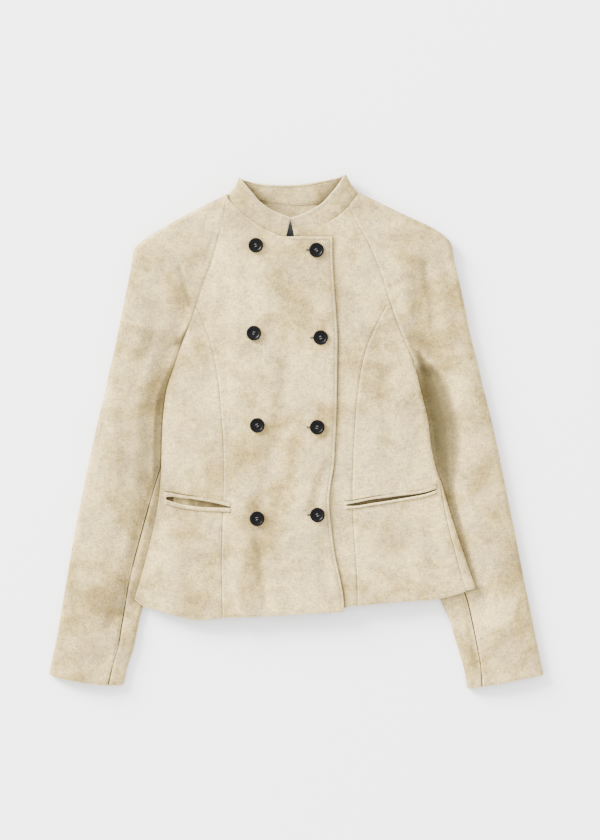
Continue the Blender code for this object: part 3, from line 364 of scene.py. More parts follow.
SLEEVE_CREASES = [
    # the right sleeve: a broad painted shade over all of it, a wedge at the underarm and a sharp
    # line above it
    (45, 0, 0.07, (-150, 285), (-200, 180), (-235, 20), (-268, -140), (-290, -320)),
    (5.5, -2.0, 0.42, (-138, 135), (-152, 127), (-164, 121)),
    (3, -1.2, 0.08, (-150, 121), (-176, 116)), (7, 1.2, 0, (-156, 146), (-192, 140)),
    (3.2, -1.6, 0.15, (-159, 224), (-151, 196), (-138, 158)),
    (8, -1.0, 0.04, (-168, 222), (-160, 192), (-148, 166)),
    (8, 1.2, 0, (-176, 215), (-172, 180)),
    (7, -1.4, 0.12, (-106, 274), (-124, 200), (-138, 166)),
    (10, -1.8, 0.08, (-184, 185), (-188, 152), (-198, 111), (-214, 95), (-219, 64)),
    (9, 1.2, 0, (-206, 150), (-224, 100)), (14, -1.5, 0.09, (-198, 10), (-206, -40), (-214, -90)),
    (9, -1.0, 0.06, (-242, 40), (-231, -50), (-240, -112)), (10, 1.2, 0, (-250, 0), (-246, -60)),
    (5, -1.4, 0.10, (-186, -55), (-200, -90), (-215, -138), (-228, -195)),
    (3.5, -0.8, 0.08, (-228, -195), (-233, -230), (-240, -290)),
    (9, -0.9, 0.03, (-206, -40), (-258, -58)), (10, 0.8, 0, (-240, -110), (-272, -122)),
    (10, -0.8, 0.03, (-250, -180), (-292, -196)), (10, 0.7, 0, (-250, -236), (-306, -246)),
    (12, -0.6, 0.02, (-276, -270), (-268, -330)), (10, -0.7, 0.02, (-130, 286), (-170, 256)),
    # the left sleeve: a narrow trough down from the shoulder, shaded on its inner side
    (5.5, -1.8, 0.12, (171, 232), (176, 200), (182, 175), (184, 140)),
    (13, -1.8, 0.06, (152, 222), (162, 170), (170, 132)),
    (12, -2.2, 0.24, (144, 138), (162, 124), (184, 112)),
    (9, 1.6, 0, (190, 222), (198, 160), (208, 118)),
    (4, 0, 0.34, (164, 112), (168, 96), (172, 80)),
    (12, -1.2, 0.05, (200, 60), (212, 3)), (10, 1.2, 0, (232, 70), (240, 0)),
    (3, -0.9, 0.08, (117, 195), (133, 199), (148, 208)),
    (2.6, -0.9, 0.08, (124, 163), (134, 176), (138, 186)),
    (2.6, -0.8, 0.08, (127, 212), (124, 204), (125, 194)), (6, 0.8, 0, (124, 208), (146, 192)),
    (7, -0.8, 0.03, (134, 248), (150, 232), (176, 226)),
    (4, -1.2, 0.12, (226, -218), (234, -267), (243, -320)),
    (10, -0.9, 0.03, (212, -60), (262, -78)), (10, 0.8, 0, (220, -110), (276, -128)),
    (10, -0.8, 0.03, (240, -170), (292, -184)), (10, 0.7, 0, (250, -230), (304, -240)),
    (12, -0.6, 0.02, (282, -250), (292, -320)),
]
SLOW_RIPPLE = dict(wave=95.0, count=7, seed=3)
QUICK_RIPPLE = dict(wave=26.0, count=9, seed=8)


def fabric_ripple(x, y):
    """A slow swell of 0.35 mm and a quick one of 0.09 mm."""
    return 0.35 * ripple(x, y, **SLOW_RIPPLE) + 0.09 * ripple(x, y, **QUICK_RIPPLE)


# %% [markdown]
# ## The body's tube
# Laid flat, the body is a flattened tube: a crowned front layer, a back layer that is flat
# on the surface and climbs over the sleeves, and a round fold at each side.
# %% Body surfaces
def side_x(side, y):
    return read(SIDE[side], "x", y)


def above_underarm(side, y):
    return np.maximum(0.0, y - UNDERARM[side])


def side_height(side, y):
    return read(SIDE_HEIGHT, "z", y - UNDERARM[side])


def front_height(x, y):
    """side + (crown - side) * (1 - across^2.4), plus the folds and the ripple."""
    right, left = side_x(RIGHT, y), side_x(LEFT, y)
    across = np.clip((2 * x - right - left) / (left - right), -1.0, 1.0)
    crown = read(CROWN, "z", y)
    side_z = np.where(across < 0, side_height(RIGHT, y), side_height(LEFT, y))
    flat = 1.0 - np.abs(across) ** CROWN_POWER
    soft = 1.0 - np.abs(across) ** FINE_POWER
    fine = creases(BODY_CREASES, x, y)[0] + fabric_ripple(x, y)
    return side_z + (crown - side_z) * flat + relief(BODY_FOLDS, x, y) * flat + fine * soft


def lap_height(x, y):
    """The right front climbs LAP_LIFT over the left front's hidden edge."""
    return front_height(x, y) + LAP_LIFT * smooth(*LAP_LIFT_X, x)


def hidden_width(side, y):
    rows = SLEEVE[side]
    first = UNDERARM_ROW[side]
    inner = through(rows["iy"][first:], rows["ix"][first:], y)
    return np.maximum(0.0, side * (side_x(side, y) - inner)) * (y < UNDERARM[side])


def body_lift(side, y):
    return BODY_ON_SLEEVE * (1.0 - smooth(0.0, ARMHOLE_REACH, above_underarm(side, y)))


def back_height(side, inside, y):
    """0 on the surface, lifted by BODY_ON_SLEEVE over the hidden part of a sleeve."""
    lift = body_lift(side, y)
    start = hidden_width(side, y) + LIFT_MARGIN
    return lift * (1.0 - smooth(start, start + LIFT_SLOPE, inside))


def side_middle(side, y):
    return (body_lift(side, y) + side_height(side, y)) / 2


def body_tube(side, s, y):
    """s runs from the side fold, + over the front, - under; the fold is elliptical."""
    s, y = np.broadcast_arrays(np.asarray(s, float), np.asarray(y, float))
    angle = np.minimum(np.abs(s) / FOLD_ARC, 1.0) * math.pi / 2
    inside = FOLD_ROUND * (1.0 - np.cos(angle)) + np.maximum(np.abs(s) - FOLD_ARC, 0.0)
    x = side_x(side, y) - side * inside
    round_off = arch(inside / FOLD_ROUND + above_underarm(side, y) / ARMHOLE_CLOSE)
    middle = side_middle(side, y)
    z = np.where(s >= 0, middle + (front_height(x, y) - middle) * round_off,
                 middle - (middle - back_height(side, inside, y)) * round_off)
    return xyz(x, y, z)


def tube_s(side, x, y):
    return side * (side_x(side, y) - x) - FOLD_ROUND + FOLD_ARC


# %% [markdown]
# ## The sleeves' tubes
# A sleeve is a flattened tube too. Above the underarm it grows out of the raglan seam;
# below it, it dives under the body and shows again from the waist down.
# %% Sleeve surface
def sleeve_rows(side, row):
    return (by_row(SLEEVE[side], name, row) for name in ("ix", "iy", "ox", "oy"))


def sleeve_length(side, row):
    first, last = UNDERARM_ROW[side], len(SLEEVE[side]["ix"]) - 1
    return np.where(row < first, row / first, 1.0 + (row - first) / (last - first))


def sleeve_plan(side, row, turn):
    """A point's x and y, its row's inner y, its share of the way across, and the width."""
    across = (1.0 - np.cos(math.pi * turn)) / 2
    ix, iy, ox, oy = sleeve_rows(side, row)
    ix = np.where(row <= UNDERARM_ROW[side], side_x(side, iy), ix)
    last = len(SLEEVE[side]["ix"]) - 1
    bow = (CUFF_BOW[side] * smooth(last - CUFF_BOW_ROWS, last, row)
           * 4 * across * (1 - across))
    x = ix + (ox - ix) * across + side * CUFF_LEAN * bow
    y = iy + (oy - iy) * across - bow
    return x, y, iy, across, np.hypot(ox - ix, oy - iy)


def sleeve_inner_edge(side, row, iy):
    """Top, bottom and middle height of the inner edge, which dives under the body."""
    on_body = row <= UNDERARM_ROW[side]
    below = np.maximum(0.0, UNDERARM[side] - iy) * (~on_body)
    drop = smooth(0.0, DROP_LENGTH, below)
    edge_y = np.where(on_body, iy, UNDERARM[side])
    edge_x = side_x(side, edge_y)
    top = front_height(edge_x, edge_y) * (1 - drop) + SLEEVE_UNDER_BODY * drop
    low = back_height(side, 0.0, edge_y) * (1 - drop)
    middle = side_middle(side, edge_y) * (1 - drop) + SLEEVE_UNDER_BODY / 2 * drop
    return top, low, middle


def sleeve_tube(side, row, turn):
    """turn 0 is the inner edge, 0 to 1 runs over the top, 1 to 2 underneath."""
    row, turn = np.broadcast_arrays(np.asarray(row, float), np.asarray(turn, float))
    x, y, iy, across, width = sleeve_plan(side, row, turn)
    inner_top, inner_low, inner_mid = sleeve_inner_edge(side, row, iy)
    length = sleeve_length(side, row)
    outer_mid, outer_top, crown = (read(SLEEVE_FORM, name, length)
                                   for name in ("outer_mid", "outer_top", "crown"))
    past_hem = smooth(0.0, HEM_CLEARANCE, np.interp(side * x, *PAST_HEM) - y)
    outside = side * (x - side_x(side, y))
    clear_of_body = np.maximum(smooth(CROWN_FROM, CROWN_FULL, outside), past_hem)
    crease_room = np.maximum(smooth(1.0, 9.0, outside), past_hem)
    swell = 4 * across * (1 - across)
    fine = creases(SLEEVE_CREASES, x, y)[0] + fabric_ripple(x, y)
    top = (inner_top + (outer_top - inner_top) * smooth(0.0, 1.0, across)
           + (crown * swell ** 0.8 + relief(SLEEVE_FOLDS, x, y) * swell) * clear_of_body
           + fine * crease_room * np.minimum(1.0, 2.5 * swell))
    low = inner_low * (1.0 - smooth(0.0, SLEEVE_LOW_SLOPE, across * width))
    middle = inner_mid + (outer_mid - inner_mid) * smooth(0.0, 0.6, across)
    above = above_underarm(side, iy) * (row <= UNDERARM_ROW[side])
    inner_fold = arch(across * width / SLEEVE_ROUND + above / ARMHOLE_CLOSE)
    outer_fold = arch((1 - across) * width / np.minimum(OUTER_ROUND, OUTER_SHARE * width))
    full = inner_fold * outer_fold
    over = (turn <= 1.0) | (turn > 2.0)
    z = np.where(over, middle + (top - middle) * full, middle - (middle - low) * full)
    return xyz(x, y, z)


def seam_turn(side, row):
    ix, iy, ox, oy = sleeve_rows(side, row)
    across = (read(SEAM_FROM_FOLD[side], "s", sleeve_length(side, row))
              / np.hypot(ox - ix, oy - iy))
    return np.where(row <= UNDERARM_ROW[side], 0.0, np.arccos(1 - 2 * across) / math.pi)


# %% [markdown]
# ## From a surface to cloth
# A piece of cloth is a grid of points with a second grid one wall below it. At a sewn edge
# the cloth rolls down into the seam with small puckers, and at a free edge it is turned
# under, so it swells a little before its rounded end. Each point keeps its distance from
# the nearest edge in an attribute, and the leather's colour follows it.
# %% Cloth from grids
def normals(surface, a, b, step=0.02):
    """Unit cross product of central differences along both parameters."""
    along = surface(a + step, b) - surface(a - step, b)
    across = surface(a, b + step) - surface(a, b - step)
    return unit(np.cross(along, across))


def edge_distances(points):
    """Arc length from each of a grid's four borders: first row, last row, first, last column."""
    down = np.linalg.norm(np.diff(points, axis=0), axis=-1)
    right = np.linalg.norm(np.diff(points, axis=1), axis=-1)
    from_top = np.pad(np.cumsum(down, axis=0), ((1, 0), (0, 0)))
    from_left = np.pad(np.cumsum(right, axis=1), ((0, 0), (1, 0)))
    return dict(first_row=from_top, last_row=from_top[-1:] - from_top,
                first_col=from_left, last_col=from_left[:, -1:] - from_left)


SEW_DEPTH, SEW_WIDE = 0.60, 1.5
ALLOWANCE_HIGH, ALLOWANCE_AT, ALLOWANCE_WIDE = 0.12, 4.6, 2.6
PUCKER, PUCKER_WAVE, PUCKER_REACH = 0.14, 8.5, 6.0
TURNED, TURNED_WIDE, TURNED_FLAT = 0.30, 9.0, 16.0
END_DROP, END_ROUND = 0.7, 1.3
STITCH_PULL, STITCH_PULL_WIDE = 0.32, 1.3
FAR_MM = 99.0
LAP_TOP_FROM = -10.0    # the right front's top edge is sewn up to here, and free beyond
STITCH_IN = 4.2         # the lap's stitching runs this far inside its edge
RAGLAN_FLAT_FROM = 180.0    # above this the right raglan seam is pressed nearly flat


def neck_seam_share(x):
    """Below 1 where the left half of the neck seam is pressed so flat that it vanishes."""
    return 1.0 - 0.85 * smooth(-12.0, 0.0, x) * (1.0 - smooth(38.0, 52.0, x))


def borders(points, edges):
    """For each worked border: its kind, the distance to it, the run along it, its share."""
    distance, (x, y) = edge_distances(points), (points[..., 0], points[..., 1])
    free = smooth(LAP_TOP_FROM - 4.0, LAP_TOP_FROM, x)
    pressed = 1.0 - 0.6 * smooth(RAGLAN_FLAT_FROM - 12.0, RAGLAN_FLAT_FROM, y)
    shares = {"part free": (("sewn", 1.0 - free), ("stitched", free)),
              "raglan": (("sewn", pressed),), "neck": (("sewn", neck_seam_share(x)),)}
    for name, kind in edges.items():
        run = distance["first_row" if name.endswith("col") else "first_col"]
        for worked, share in shares.get(kind, ((kind, np.ones(x.shape)),)):
            yield worked, distance[name], run, share


def edge_form(points, edges):
    """Height to add along the normal, for borders that are sewn, turned or stitched."""
    add = np.zeros(points.shape[:2])
    for kind, d, run, share in borders(points, edges):
        if kind == "sewn":
            pucker = np.sin(2 * math.pi * run / PUCKER_WAVE + 1.7 * np.sin(run / 31.0))
            add += share * (-SEW_DEPTH * bell(d, SEW_WIDE)
                            + ALLOWANCE_HIGH * bell(d - ALLOWANCE_AT, ALLOWANCE_WIDE)
                            + PUCKER * pucker * np.exp(-(d / PUCKER_REACH)))
        else:
            add += share * (TURNED * (1 - smooth(TURNED_WIDE, TURNED_FLAT, d))
                            - END_DROP * np.clip(1 - d / END_ROUND, 0, 1) ** 2)
        if kind == "stitched":
            add -= share * STITCH_PULL * bell(d - STITCH_IN, STITCH_PULL_WIDE)
    return add


def edge_marks(points, edges):
    """Distances to the nearest seam, the nearest free rim and the nearest stitched rim."""
    marks = {name: np.full(points.shape[:2], FAR_MM)
             for name in ("seam_mm", "rim_mm", "stitch_mm")}
    drawn = dict(sewn=("seam_mm",), turned=("rim_mm",), stitched=("rim_mm", "stitch_mm"))
    for kind, d, _, share in borders(points, edges):
        for name in drawn[kind]:
            marks[name] = np.minimum(marks[name], d + FAR_MM * (1.0 - share))
    return marks


def pull_in(points, amount):
    """Draw the four borders of a grid in towards the next row and column."""
    out = points.copy()
    for edge, inner in ((0, 1), (-1, -2)):
        for axis in (0, 1):
            border, next_in = np.take(out, edge, axis), np.take(out, inner, axis)
            way = next_in - border
            way = way / np.maximum(np.linalg.norm(way, axis=-1, keepdims=True), 1e-9)
            out[edge if axis == 0 else (slice(None), edge)] = border + way * amount
    return out


# Painted shade in the valley on a sleeve beside the body's edge: its width and strength along y.
GUTTER = {              # the valley on a sleeve beside the body's edge
    RIGHT: dict(y=(150, 131, 100, 71, 44, -50, -62, -80, -222, -240),
                wide=(3, 3.5, 4, 5, 7, 7, 6, 5.5, 5, 4),
                full=(0, 0.15, 0.35, 0.60, 0.88, 0.88, 0.60, 0.52, 0.45, 0)),
    LEFT: dict(y=(120, 112, 104, 96, 88, 77, 60, 44, 3, -24, -50, -66, -90, -150, -180,
                  -215, -235),
               wide=(4, 6, 9, 11, 15, 19, 22, 22, 23, 22, 17, 11, 7.5, 6, 4, 3, 3),
               full=(0, 0.30, 0.45, 0.60, 0.72, 0.85, 1.0, 1.04, 1.06, 1.0, 0.80, 0.66, 0.58,
                     0.50, 0.38, 0.28, 0)),
}
# Painted shadow: how dark the thin line right beside the body's edge is, along y.
BODY_EDGE_SHADOW_LINE = {         # how dark the thin line right beside the body's edge is
    RIGHT: dict(y=(150, 131, 115, 90, 40, -50, -64, -80, -150, -222, -240),
                full=(0, 0.25, 0.45, 0.7, 0.85, 0.85, 0.5, 0.25, 0.25, 0.3, 0.3)),
    LEFT: dict(y=(115, 95, 60, -40, -70, -215, -235),
               full=(0, 0.15, 0, 0, 0.35, 0.38, 0.3)),
}
BODY_RIM, BODY_RIM_WIDE, BODY_RIM_ENDS = 0.18, 8.0, (150.0, 175.0)     # a soft shade at its side
# How dark the painted shadow line beside the lap's edge is, along y.
LAP_SHADOW_LINE = dict(y=(-240, -200, -180, -90, -56, -30, 40, 60, 138, 150, 262),
                full=(0.63, 0.56, 0.35, 0.35, 0.56, 0.35, 0.42, 0.63, 0.63, 0.35, 0.3))
# Painted shade: the valley's steps and its lighter part right beside the body's edge, how fast
# shade darkens and its most, a little on a sleeve's rounded sides, and along the seam down a
# sleeve, whose dark joint is drawn darker for the shade in its valley.
VALLEY_STEPS = ((0.34, 0.8, 1.15), (0.66, 1.2, 2.0))     # share, from and to, in widths
VALLEY_NEAR = 0.4        # the valley is lighter right beside the body's edge
CREASE_SHADE_RATE, SHADE_MOST = 2.9, 1.2
STEEP_SHADE = {RIGHT: 0.14, LEFT: 0.05}      # a sleeve's rounded sides are a little darker
LONG_SEAM, LONG_SEAM_FROM, LONG_SEAM_REACH = 3.0, -40.0, 45.0  # the dark seam down a sleeve


def along_y(table, column, y):
    order = np.argsort(table["y"])
    return np.interp(y, np.take(table["y"], order), np.take(table[column], order))


def darkness(shade):
    """1 - exp(-2.9 * shade): the mix towards the painted shade colour that the eye reads evenly.
    """
    return 1.0 - np.exp(-CREASE_SHADE_RATE * np.clip(shade, 0.0, SHADE_MOST))


def body_marks(points, outward):
    """Painted shade on the body's upper side: the creases', and a soft band along its right side.
    """
    x, y = points[..., 0], points[..., 1]
    shade = creases(BODY_CREASES, x, y)[1]
    rim = ((1.0 - smooth(0.0, BODY_RIM_WIDE, x - side_x(RIGHT, y)))
           * (1.0 - smooth(*BODY_RIM_ENDS, y)))
    return dict(hollow=darkness((shade + BODY_RIM * rim) * (outward[..., 2] > 0.0)))


def lap_x(y):
    return read(LAP_EDGE, "x", y)


def under_lap_marks(points, outward):
    """The left front also has the lap's edge lying on it, with a painted shadow line beside that
    edge.
    """
    x, y = points[..., 0], points[..., 1]
    past = np.hypot(np.maximum(x - lap_x(y), 0.0),
                    np.maximum(y - NECK[RIGHT]["y"][-1], 0.0))
    return dict(body_marks(points, outward), over_mm=past,
                over_full=along_y(LAP_SHADOW_LINE, "full", y))


def outside_body(side, x, y):
    """How far a point lies outside the body's side or below its hem."""
    beside = side * (x - side_x(side, y))
    return np.maximum(beside, read(HEM[side], "y", x) - y)


def sleeve_marks(side):
    def marks(points, outward):
        """Painted shade in the creases, on the rounded sides and in the valley where the body's
        edge lies on the sleeve, and a painted shadow line beside that edge.
        """
        x, y = points[..., 0], points[..., 1]
        outside = outside_body(side, x, y)
        past = np.maximum(outside, 0.0)
        wide = along_y(GUTTER[side], "wide", y)
        valley = sum(part * (1.0 - smooth(low * wide, high * wide, past))
                     for part, low, high in VALLEY_STEPS)
        valley = valley * (VALLEY_NEAR + (1.0 - VALLEY_NEAR) * smooth(1.0, 13.0, past))
        shade = creases(SLEEVE_CREASES, x, y)[1] + valley * along_y(GUTTER[side], "full", y)
        shade = shade + STEEP_SHADE[side] * (1.0 - np.abs(outward[..., 2])) ** 2
        up = outward[..., 2] > 0.0
        seam_full = 1.0 + LONG_SEAM * (side * (x - side_x(side, y)) < LONG_SEAM_REACH) * (
            y < LONG_SEAM_FROM)
        return dict(hollow=darkness(shade * up), over_mm=past, seam_full=seam_full,
                    over_full=up * along_y(BODY_EDGE_SHADOW_LINE[side], "full", y))
    return marks


CLOTH_SHARP, BUTTON_SHARP = 60, 38      # degrees; a sharper edge is shaded as an edge


def face_outward(mesh, mend=False):
    """Turn a closed mesh inside out if its volume is below 0."""
    shape = bmesh.new()
    shape.from_mesh(mesh)
    if mend:
        bmesh.ops.recalc_face_normals(shape, faces=shape.faces)
    if shape.calc_volume(signed=True) < 0:
        bmesh.ops.reverse_faces(shape, faces=shape.faces)
    shape.to_mesh(mesh)
    shape.free()


def shade(mesh, degrees):
    mesh.shade_smooth()
    mesh.set_sharp_from_angle(angle=math.radians(degrees))


def mesh_piece(name, vertices, quads):
    """A smooth mesh object from points in millimetres and an array of quads."""
    mesh = bpy.data.meshes.new(name)
    mesh.vertices.add(len(vertices))
    mesh.vertices.foreach_set(
        "co", ((np.asarray(vertices) - PLAN_MIDDLE) * MM).astype(np.float32).ravel())
    quads = np.asarray(quads, np.int32)
    mesh.loops.add(quads.size)
    mesh.loops.foreach_set("vertex_index", quads.ravel())
    mesh.polygons.add(len(quads))
    mesh.polygons.foreach_set("loop_start", np.arange(0, quads.size, quads.shape[1],
                                                      dtype=np.int32))
    mesh.update(calc_edges=True)
    mesh.validate()
    face_outward(mesh)
    shade(mesh, CLOTH_SHARP)
    return add_object(name, mesh)


def wall_quads(rows, cols, keep=None):
    """Quads of two facing grids and the strip that joins them round each open border."""
    ids = np.arange(rows * cols).reshape(rows, cols)
    quads = np.stack((ids[:-1, :-1], ids[1:, :-1], ids[1:, 1:], ids[:-1, 1:]), axis=-1)
    quads = quads.reshape(-1, 4) if keep is None else quads[keep]
    under = quads[:, ::-1] + rows * cols
    sides = np.concatenate([np.stack((quads[:, i], quads[:, (i + 1) % 4]), axis=-1)
                            for i in range(4)])
    key = np.sort(sides, axis=1)
    _, back, count = np.unique(key[:, 0] * (rows * cols) + key[:, 1],
                               return_inverse=True, return_counts=True)
    border = sides[count[back.ravel()] == 1]
    rim = np.stack((border[:, 1], border[:, 0], border[:, 0] + rows * cols,
                    border[:, 1] + rows * cols), axis=-1)
    return np.concatenate((quads, under, rim))


# The usual value of each mark: distances to seams, rims and stitching, a painted shadow line
# beside an edge lying on the piece, painted shade, and the seam line's darkness.
MARKS = dict(seam_mm=FAR_MM, rim_mm=FAR_MM, stitch_mm=FAR_MM, over_mm=FAR_MM,
             over_full=0.0, hollow=0.0, seam_full=1.0)


def sheet(name, outer, inner, keep=None, **marks):
    """A closed sheet between two grids. Each mark is an attribute that its paint reads."""
    piece = mesh_piece(name, np.concatenate((outer.reshape(-1, 3), inner.reshape(-1, 3))),
                       wall_quads(*outer.shape[:2], keep))
    for mark, usual in MARKS.items():
        values = np.broadcast_to(marks.get(mark, usual), outer.shape[:2]).ravel()
        piece.data.attributes.new(mark, "FLOAT", "POINT").data.foreach_set(
            "value", np.concatenate((values, values)).astype(np.float32))
    return piece


def cloth(name, surface, a, b, outward, edges, more_marks, keep=None):
    """A dressed wall inside surface(a, b); outward is a point on its outer side."""
    outer = surface(a, b)
    n = normals(surface, a, b)
    facing = np.sum(n * (np.asarray(outward, float) - outer), axis=-1)
    n = n * np.where(np.median(facing) < 0, -1.0, 1.0)
    inner = outer - n * WALL
    inner[..., 2] = np.maximum(inner[..., 2], 0.25)
    marks = {**edge_marks(outer, edges), **more_marks(outer, n)}
    outer = outer + n * edge_form(outer, edges)[..., None]
    outer[..., 2] = np.maximum(outer[..., 2], 0.0)
    outer, inner = pull_in(outer, SEAM_GAP), pull_in(inner, SEAM_GAP)
    return sheet(name, outer, inner, None if keep is None else keep(outer), **marks)


def height_field(height):
    return lambda x, y: xyz(x, y, height(x, y))


def crowded(count, strength=0.55):
    """Steps from 0 to 1 that lie closer together at both ends."""
    t = np.linspace(0, 1, count)
    return (1 - strength) * t + strength * (1 - np.cos(math.pi * t)) / 2


# %% [markdown]
# ## Shader maths
# A small class wraps a node's output, so that a pattern is written as an expression. Each
# operator adds one Math node, and colours go through Mix nodes.
# %% Shader helpers
class Value:
    def __init__(self, paint, socket):
        self.paint, self.socket = paint, socket

    def _math(self, operation, first, second):
        return self.paint.node("ShaderNodeMath", {"operation": operation},
                               {0: first, 1: second})

    def __add__(self, other):
        return self._math("ADD", self, other)

    def __sub__(self, other):
        return self._math("SUBTRACT", self, other)

    def __mul__(self, other):
        return self._math("MULTIPLY", self, other)

    def __rsub__(self, other):
        return self._math("SUBTRACT", other, self)

    __radd__, __rmul__ = __add__, __mul__


class Paint:
    """A material whose nodes are made by one method."""

    def __init__(self, name):
        self.material = bpy.data.materials.new(name)
        self.material.use_nodes = True
        self.tree = self.material.node_tree
        self.shader = self.tree.nodes["Principled BSDF"]
        self.here = self.node("ShaderNodeTexCoord", {}, {}, output=3)

    def node(self, kind, settings, sockets, output=0):
        made = self.tree.nodes.new(kind)
        for key, value in settings.items():
            setattr(made, key, value)
        for key, value in sockets.items():
            self.feed(made.inputs[key], value)
        return Value(self, made.outputs[output])

    def feed(self, socket, value):
        if isinstance(value, Value):
            self.tree.links.new(value.socket, socket)
        else:
            socket.default_value = value

    def noise(self, scale, detail=3.0, rough=0.55, distort=0.0, place=None):
        return self.node("ShaderNodeTexNoise", {"noise_dimensions": "3D"},
                         {"Vector": place or self.here, "Scale": scale, "Detail": detail,
                          "Roughness": rough, "Distortion": distort})

    def between(self, value, low, high):
        """0 below low, 1 above high, and a smooth step between."""
        return self.node("ShaderNodeMapRange", {"interpolation_type": "SMOOTHSTEP"},
                         {"Value": value, "From Min": low, "From Max": high})

    def until(self, value, low, high):
        """1 below low, 0 above high, and a smooth step between."""
        return 1.0 - self.between(value, low, high)

    def mix(self, factor, first, second):
        a = (*first, 1.0) if isinstance(first, tuple) else first
        b = (*second, 1.0) if isinstance(second, tuple) else second
        return self.node("ShaderNodeMix", {"data_type": "RGBA"}, {0: factor, 6: a, 7: b},
                         output=2)

    def tint(self, colour, value):
        """The colour times a number."""
        return self.node("ShaderNodeMix", {"data_type": "RGBA", "blend_type": "MULTIPLY"},
                         {0: 1.0, 6: colour, 7: value}, output=2)

    def scaled(self, *factors):
        """Object coordinates times a factor along each axis."""
        return self.node("ShaderNodeMapping", {}, {"Vector": self.here, "Scale": factors})

    def mark(self, name):
        """A mesh attribute that sheet() wrote."""
        return self.node("ShaderNodeAttribute", {"attribute_name": name}, {}, output=2)

    def wave(self, way, scale):
        return self.node("ShaderNodeTexWave", {"bands_direction": way},
                         {"Vector": self.here, "Scale": scale})

    def bump(self, strength, distance, height):
        return self.node("ShaderNodeBump", {}, {"Strength": strength, "Distance": distance,
                                                "Height": height})

    def set(self, **values):
        names = dict(colour="Base Color", rough="Roughness", normal="Normal",
                     specular="Specular IOR Level")
        for key, value in values.items():
            self.feed(self.shader.inputs[names[key]], value)
        return self.material


# %% [markdown]
# ## The leather
# The cloth is a coated, brushed leather with an aged look: soft pale and tan clouds from
# 20 to 80 mm across, a cooler grey cast in places, fine brushed flecks, and a dark line in
# each seam. Just beside each seam and along each free rim it is paler, partly worn and
# partly a painted highlight. Painted shade darkens its creases, valleys, corners and stitch
# lines, and a painted shadow line lies beside each edge that rests on it. The clouds are
# noise at four scales on Object coordinates, so they run on across the pieces like one hide.
# %% Leather, lining, horn and thread
CREAM_PALE = (0.424, 0.320, 0.143)
CREAM_WARM = (0.288, 0.208, 0.076)
CREAM_COOL = (0.335, 0.258, 0.136)
# the dark olive of painted shade, also used for the dark seam lines
CREAM_SHADE_AND_SEAM = (0.038, 0.0285, 0.0105)
# the pale colour of worn edges and of painted highlights
CREAM_RUBBED_HIGHLIGHT = (0.500, 0.420, 0.245)


def leather(name, shade=1.0):
    paint = Paint(name)
    clouds = paint.noise(15.0, 3.0, 0.55, 0.35)
    patches = paint.noise(48.0, 3.0, 0.6, 0.2)
    cool = paint.noise(22.0, 3.0, 0.6)
    mottles = paint.noise(125.0, 3.0, 0.62, 0.4)
    fibres = (paint.noise(150.0, 3.0, 0.65, place=paint.scaled(1.0, 3.6, 1.0)) * 0.5
              + paint.noise(170.0, 3.0, 0.65, place=paint.scaled(3.2, 1.0, 1.0)) * 0.5)
    flecks, grain = paint.noise(430.0, 2.0, 0.6), paint.noise(1500.0, 2.0, 0.55)
    pale, warm, cool_shade, deep, rubbed_highlight = (
        tuple(c * shade for c in colour) for colour in
        (CREAM_PALE, CREAM_WARM, CREAM_COOL, CREAM_SHADE_AND_SEAM, CREAM_RUBBED_HIGHLIGHT))
    tone = clouds * 0.62 + patches * 0.38
    colour = paint.mix(paint.between(tone, 0.36, 0.58), warm, pale)
    colour = paint.mix(paint.between(cool, 0.44, 0.62) * 0.55, colour, cool_shade)
    colour = paint.tint(colour, 1.0 + (clouds - 0.5) * 0.85 + (patches - 0.5) * 0.25)
    brushed = (fibres * 1.4 + flecks * 1.2 + mottles * 0.7 - 1.65) * 1.08
    grey = paint.node("ShaderNodeCombineColor", {},
                      {0: 1.0 + brushed, 1: 1.0 + brushed, 2: 1.0 + brushed * 0.6})
    colour = paint.tint(colour, grey)
    seam, rim, over = paint.mark("seam_mm"), paint.mark("rim_mm"), paint.mark("over_mm")
    stitch_off, over_full = paint.mark("stitch_mm") - STITCH_IN, paint.mark("over_full")
    wander = paint.between(paint.noise(26.0, 2.0), 0.38, 0.64)
    in_seam = paint.until(seam, 0.2, 1.1) * (0.12 + wander * 0.4)
    # Laid on in turn: painted shade; a paler band beside each seam, partly worn and partly painted
    # highlight; the dark seam line; the same paler rim; painted shade in the stitch line's groove;
    # and a thin, then a soft painted shadow beside an edge that lies on this piece.
    for share, laid_on in (
            (paint.mark("hollow"), deep),
            (paint.between(seam, 0.7, 1.5) * paint.until(seam, 1.6, 3.2) * 0.2, rubbed_highlight),
            (in_seam * paint.mark("seam_full"), deep),
            (paint.until(rim, 0.5, 1.9) * 0.45, rubbed_highlight),
            (paint.until(stitch_off * stitch_off, 0.05, 0.9) * 0.55, deep),
            (paint.until(over, 0.9, 3.0) * over_full, deep),
            (paint.until(over, 0.0, 8.0) * over_full * 0.35, deep)):
        colour = paint.mix(share, colour, laid_on)
    normal = paint.bump(0.18, 0.0007, grain * 0.35 + fibres * 1.3 + flecks * 0.6)
    return paint.set(colour=colour, rough=0.60 + 0.18 * fibres, normal=normal, specular=0.06)


def plain_cloth(name, dark, pale, scale, rough):
    """A woven cloth: two crossed waves over a little noise."""
    paint = Paint(name)
    weave = paint.wave("X", scale) * 0.5 + paint.wave("Y", scale) * 0.5
    colour = paint.mix(weave * 0.7 + paint.noise(90.0) * 0.3, dark, pale)
    return paint.set(colour=colour, rough=rough, normal=paint.bump(0.3, 0.0002, weave))


